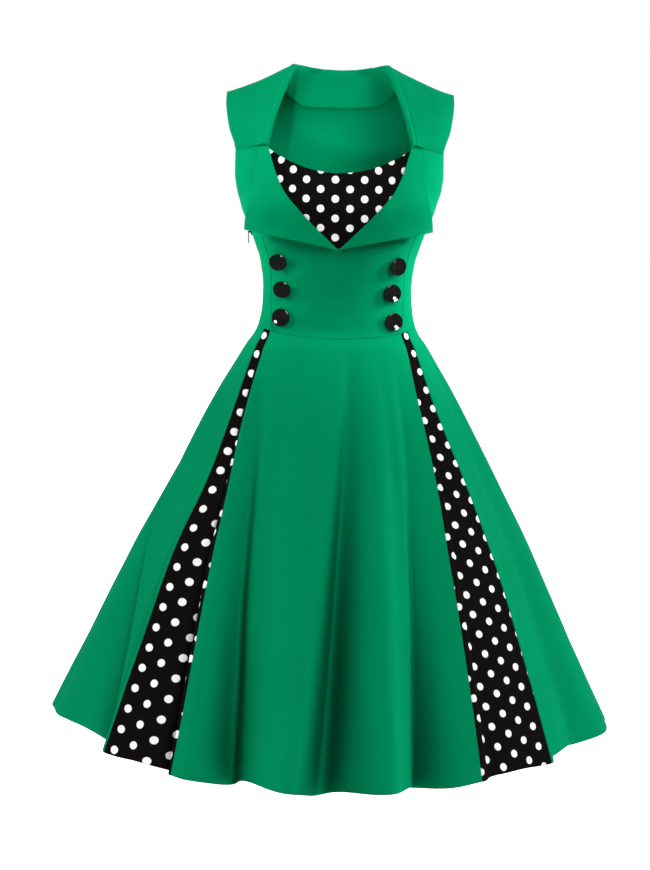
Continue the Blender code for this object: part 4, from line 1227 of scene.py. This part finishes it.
def turned_mesh(name, section, sides, material):
    """A round piece turned from a half section of (radius, height) rows, about its own Z."""
    angle = np.linspace(0, 2 * math.pi, sides, endpoint=False)
    ring = np.stack([np.cos(angle), np.sin(angle)], axis=-1)
    inner = section[1:-1]
    points = [
        np.column_stack([ring * radius, np.full(sides, height)]) for radius, height in inner
    ]
    points = np.vstack([[(0, 0, section[0][1])], *points, [(0, 0, section[-1][1])]])
    faces = []
    last = len(points) - 1
    for k in range(sides):
        after = (k + 1) % sides
        faces.append((0, 1 + k, 1 + after))
        for row in range(len(inner) - 1):
            base = 1 + row * sides
            faces.append((base + k, base + sides + k, base + sides + after, base + after))
        base = 1 + (len(inner) - 1) * sides
        faces.append((base + k, last, base + after))
    return mesh_object(name, points.tolist(), faces, material)


knots = lengths(BUTTON_SECTION, 0)
fine_section = through(BUTTON_SECTION, knots, np.linspace(0, knots[-1], BUTTON_RINGS))
fine_section[:, 0] = np.maximum(fine_section[:, 0], PIN_RADIUS)
for row in BUTTONS:
    level = level_of(row.z)
    turn = turn_at(row.x, level)
    spot = Vector(torso_point(turn, level) + torso_normal(turn, level) * BUTTON_STANDOFF)
    tilt = Vector(row.facing).to_track_quat("Z", "Y").to_matrix().to_4x4()
    button = turned_mesh(f"{row.name}_resin", fine_section, BUTTON_SIDES, black_resin)
    button.data.transform(Matrix.Translation(spot) @ tilt)
    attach(button, "dress")
    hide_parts(row.name)

# ---------------------------------------------------------------- zip
# A concealed zip in the wearer's right side seam. Its tape and coil are behind the seam, and
# only the lacquered die-cast slider and its pull tab show.

RUBBED_SPOTS = 1100.0               # to the metre, so about a millimetre apart

zip_lacquer, tree = new_material("green_lacquered_zinc")
where = add(tree, "ShaderNodeTexCoord")
rubbed = add(
    tree, "ShaderNodeTexNoise", Vector=where.outputs["Object"], Scale=RUBBED_SPOTS, Detail=4.0,
).outputs["Fac"]
thin = add(
    tree, "ShaderNodeMapRange", interpolation_type="SMOOTHSTEP", Value=rubbed,
    From_Min=0.56, From_Max=0.70,
)
colour = add(
    tree, "ShaderNodeMix", data_type="RGBA", Factor=thin,
    input_6=(*linear("#04593b"), 1), input_7=(*linear("#3f7f68"), 1),
)
worn = add(tree, "ShaderNodeMapRange", Value=rubbed, To_Min=0.22, To_Max=0.50)
bump = add(tree, "ShaderNodeBump", Strength=0.2, Distance=0.0001, Height=rubbed)
surface = add(
    tree, "ShaderNodeBsdfPrincipled",
    Base_Color=colour.outputs[2], Roughness=worn, Metallic=thin, Normal=bump,
)
add(tree, "ShaderNodeOutputMaterial", Surface=surface)
for name in ("zip_slider", "zip_pull"):
    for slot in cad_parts[name].material_slots:
        slot.material = zip_lacquer
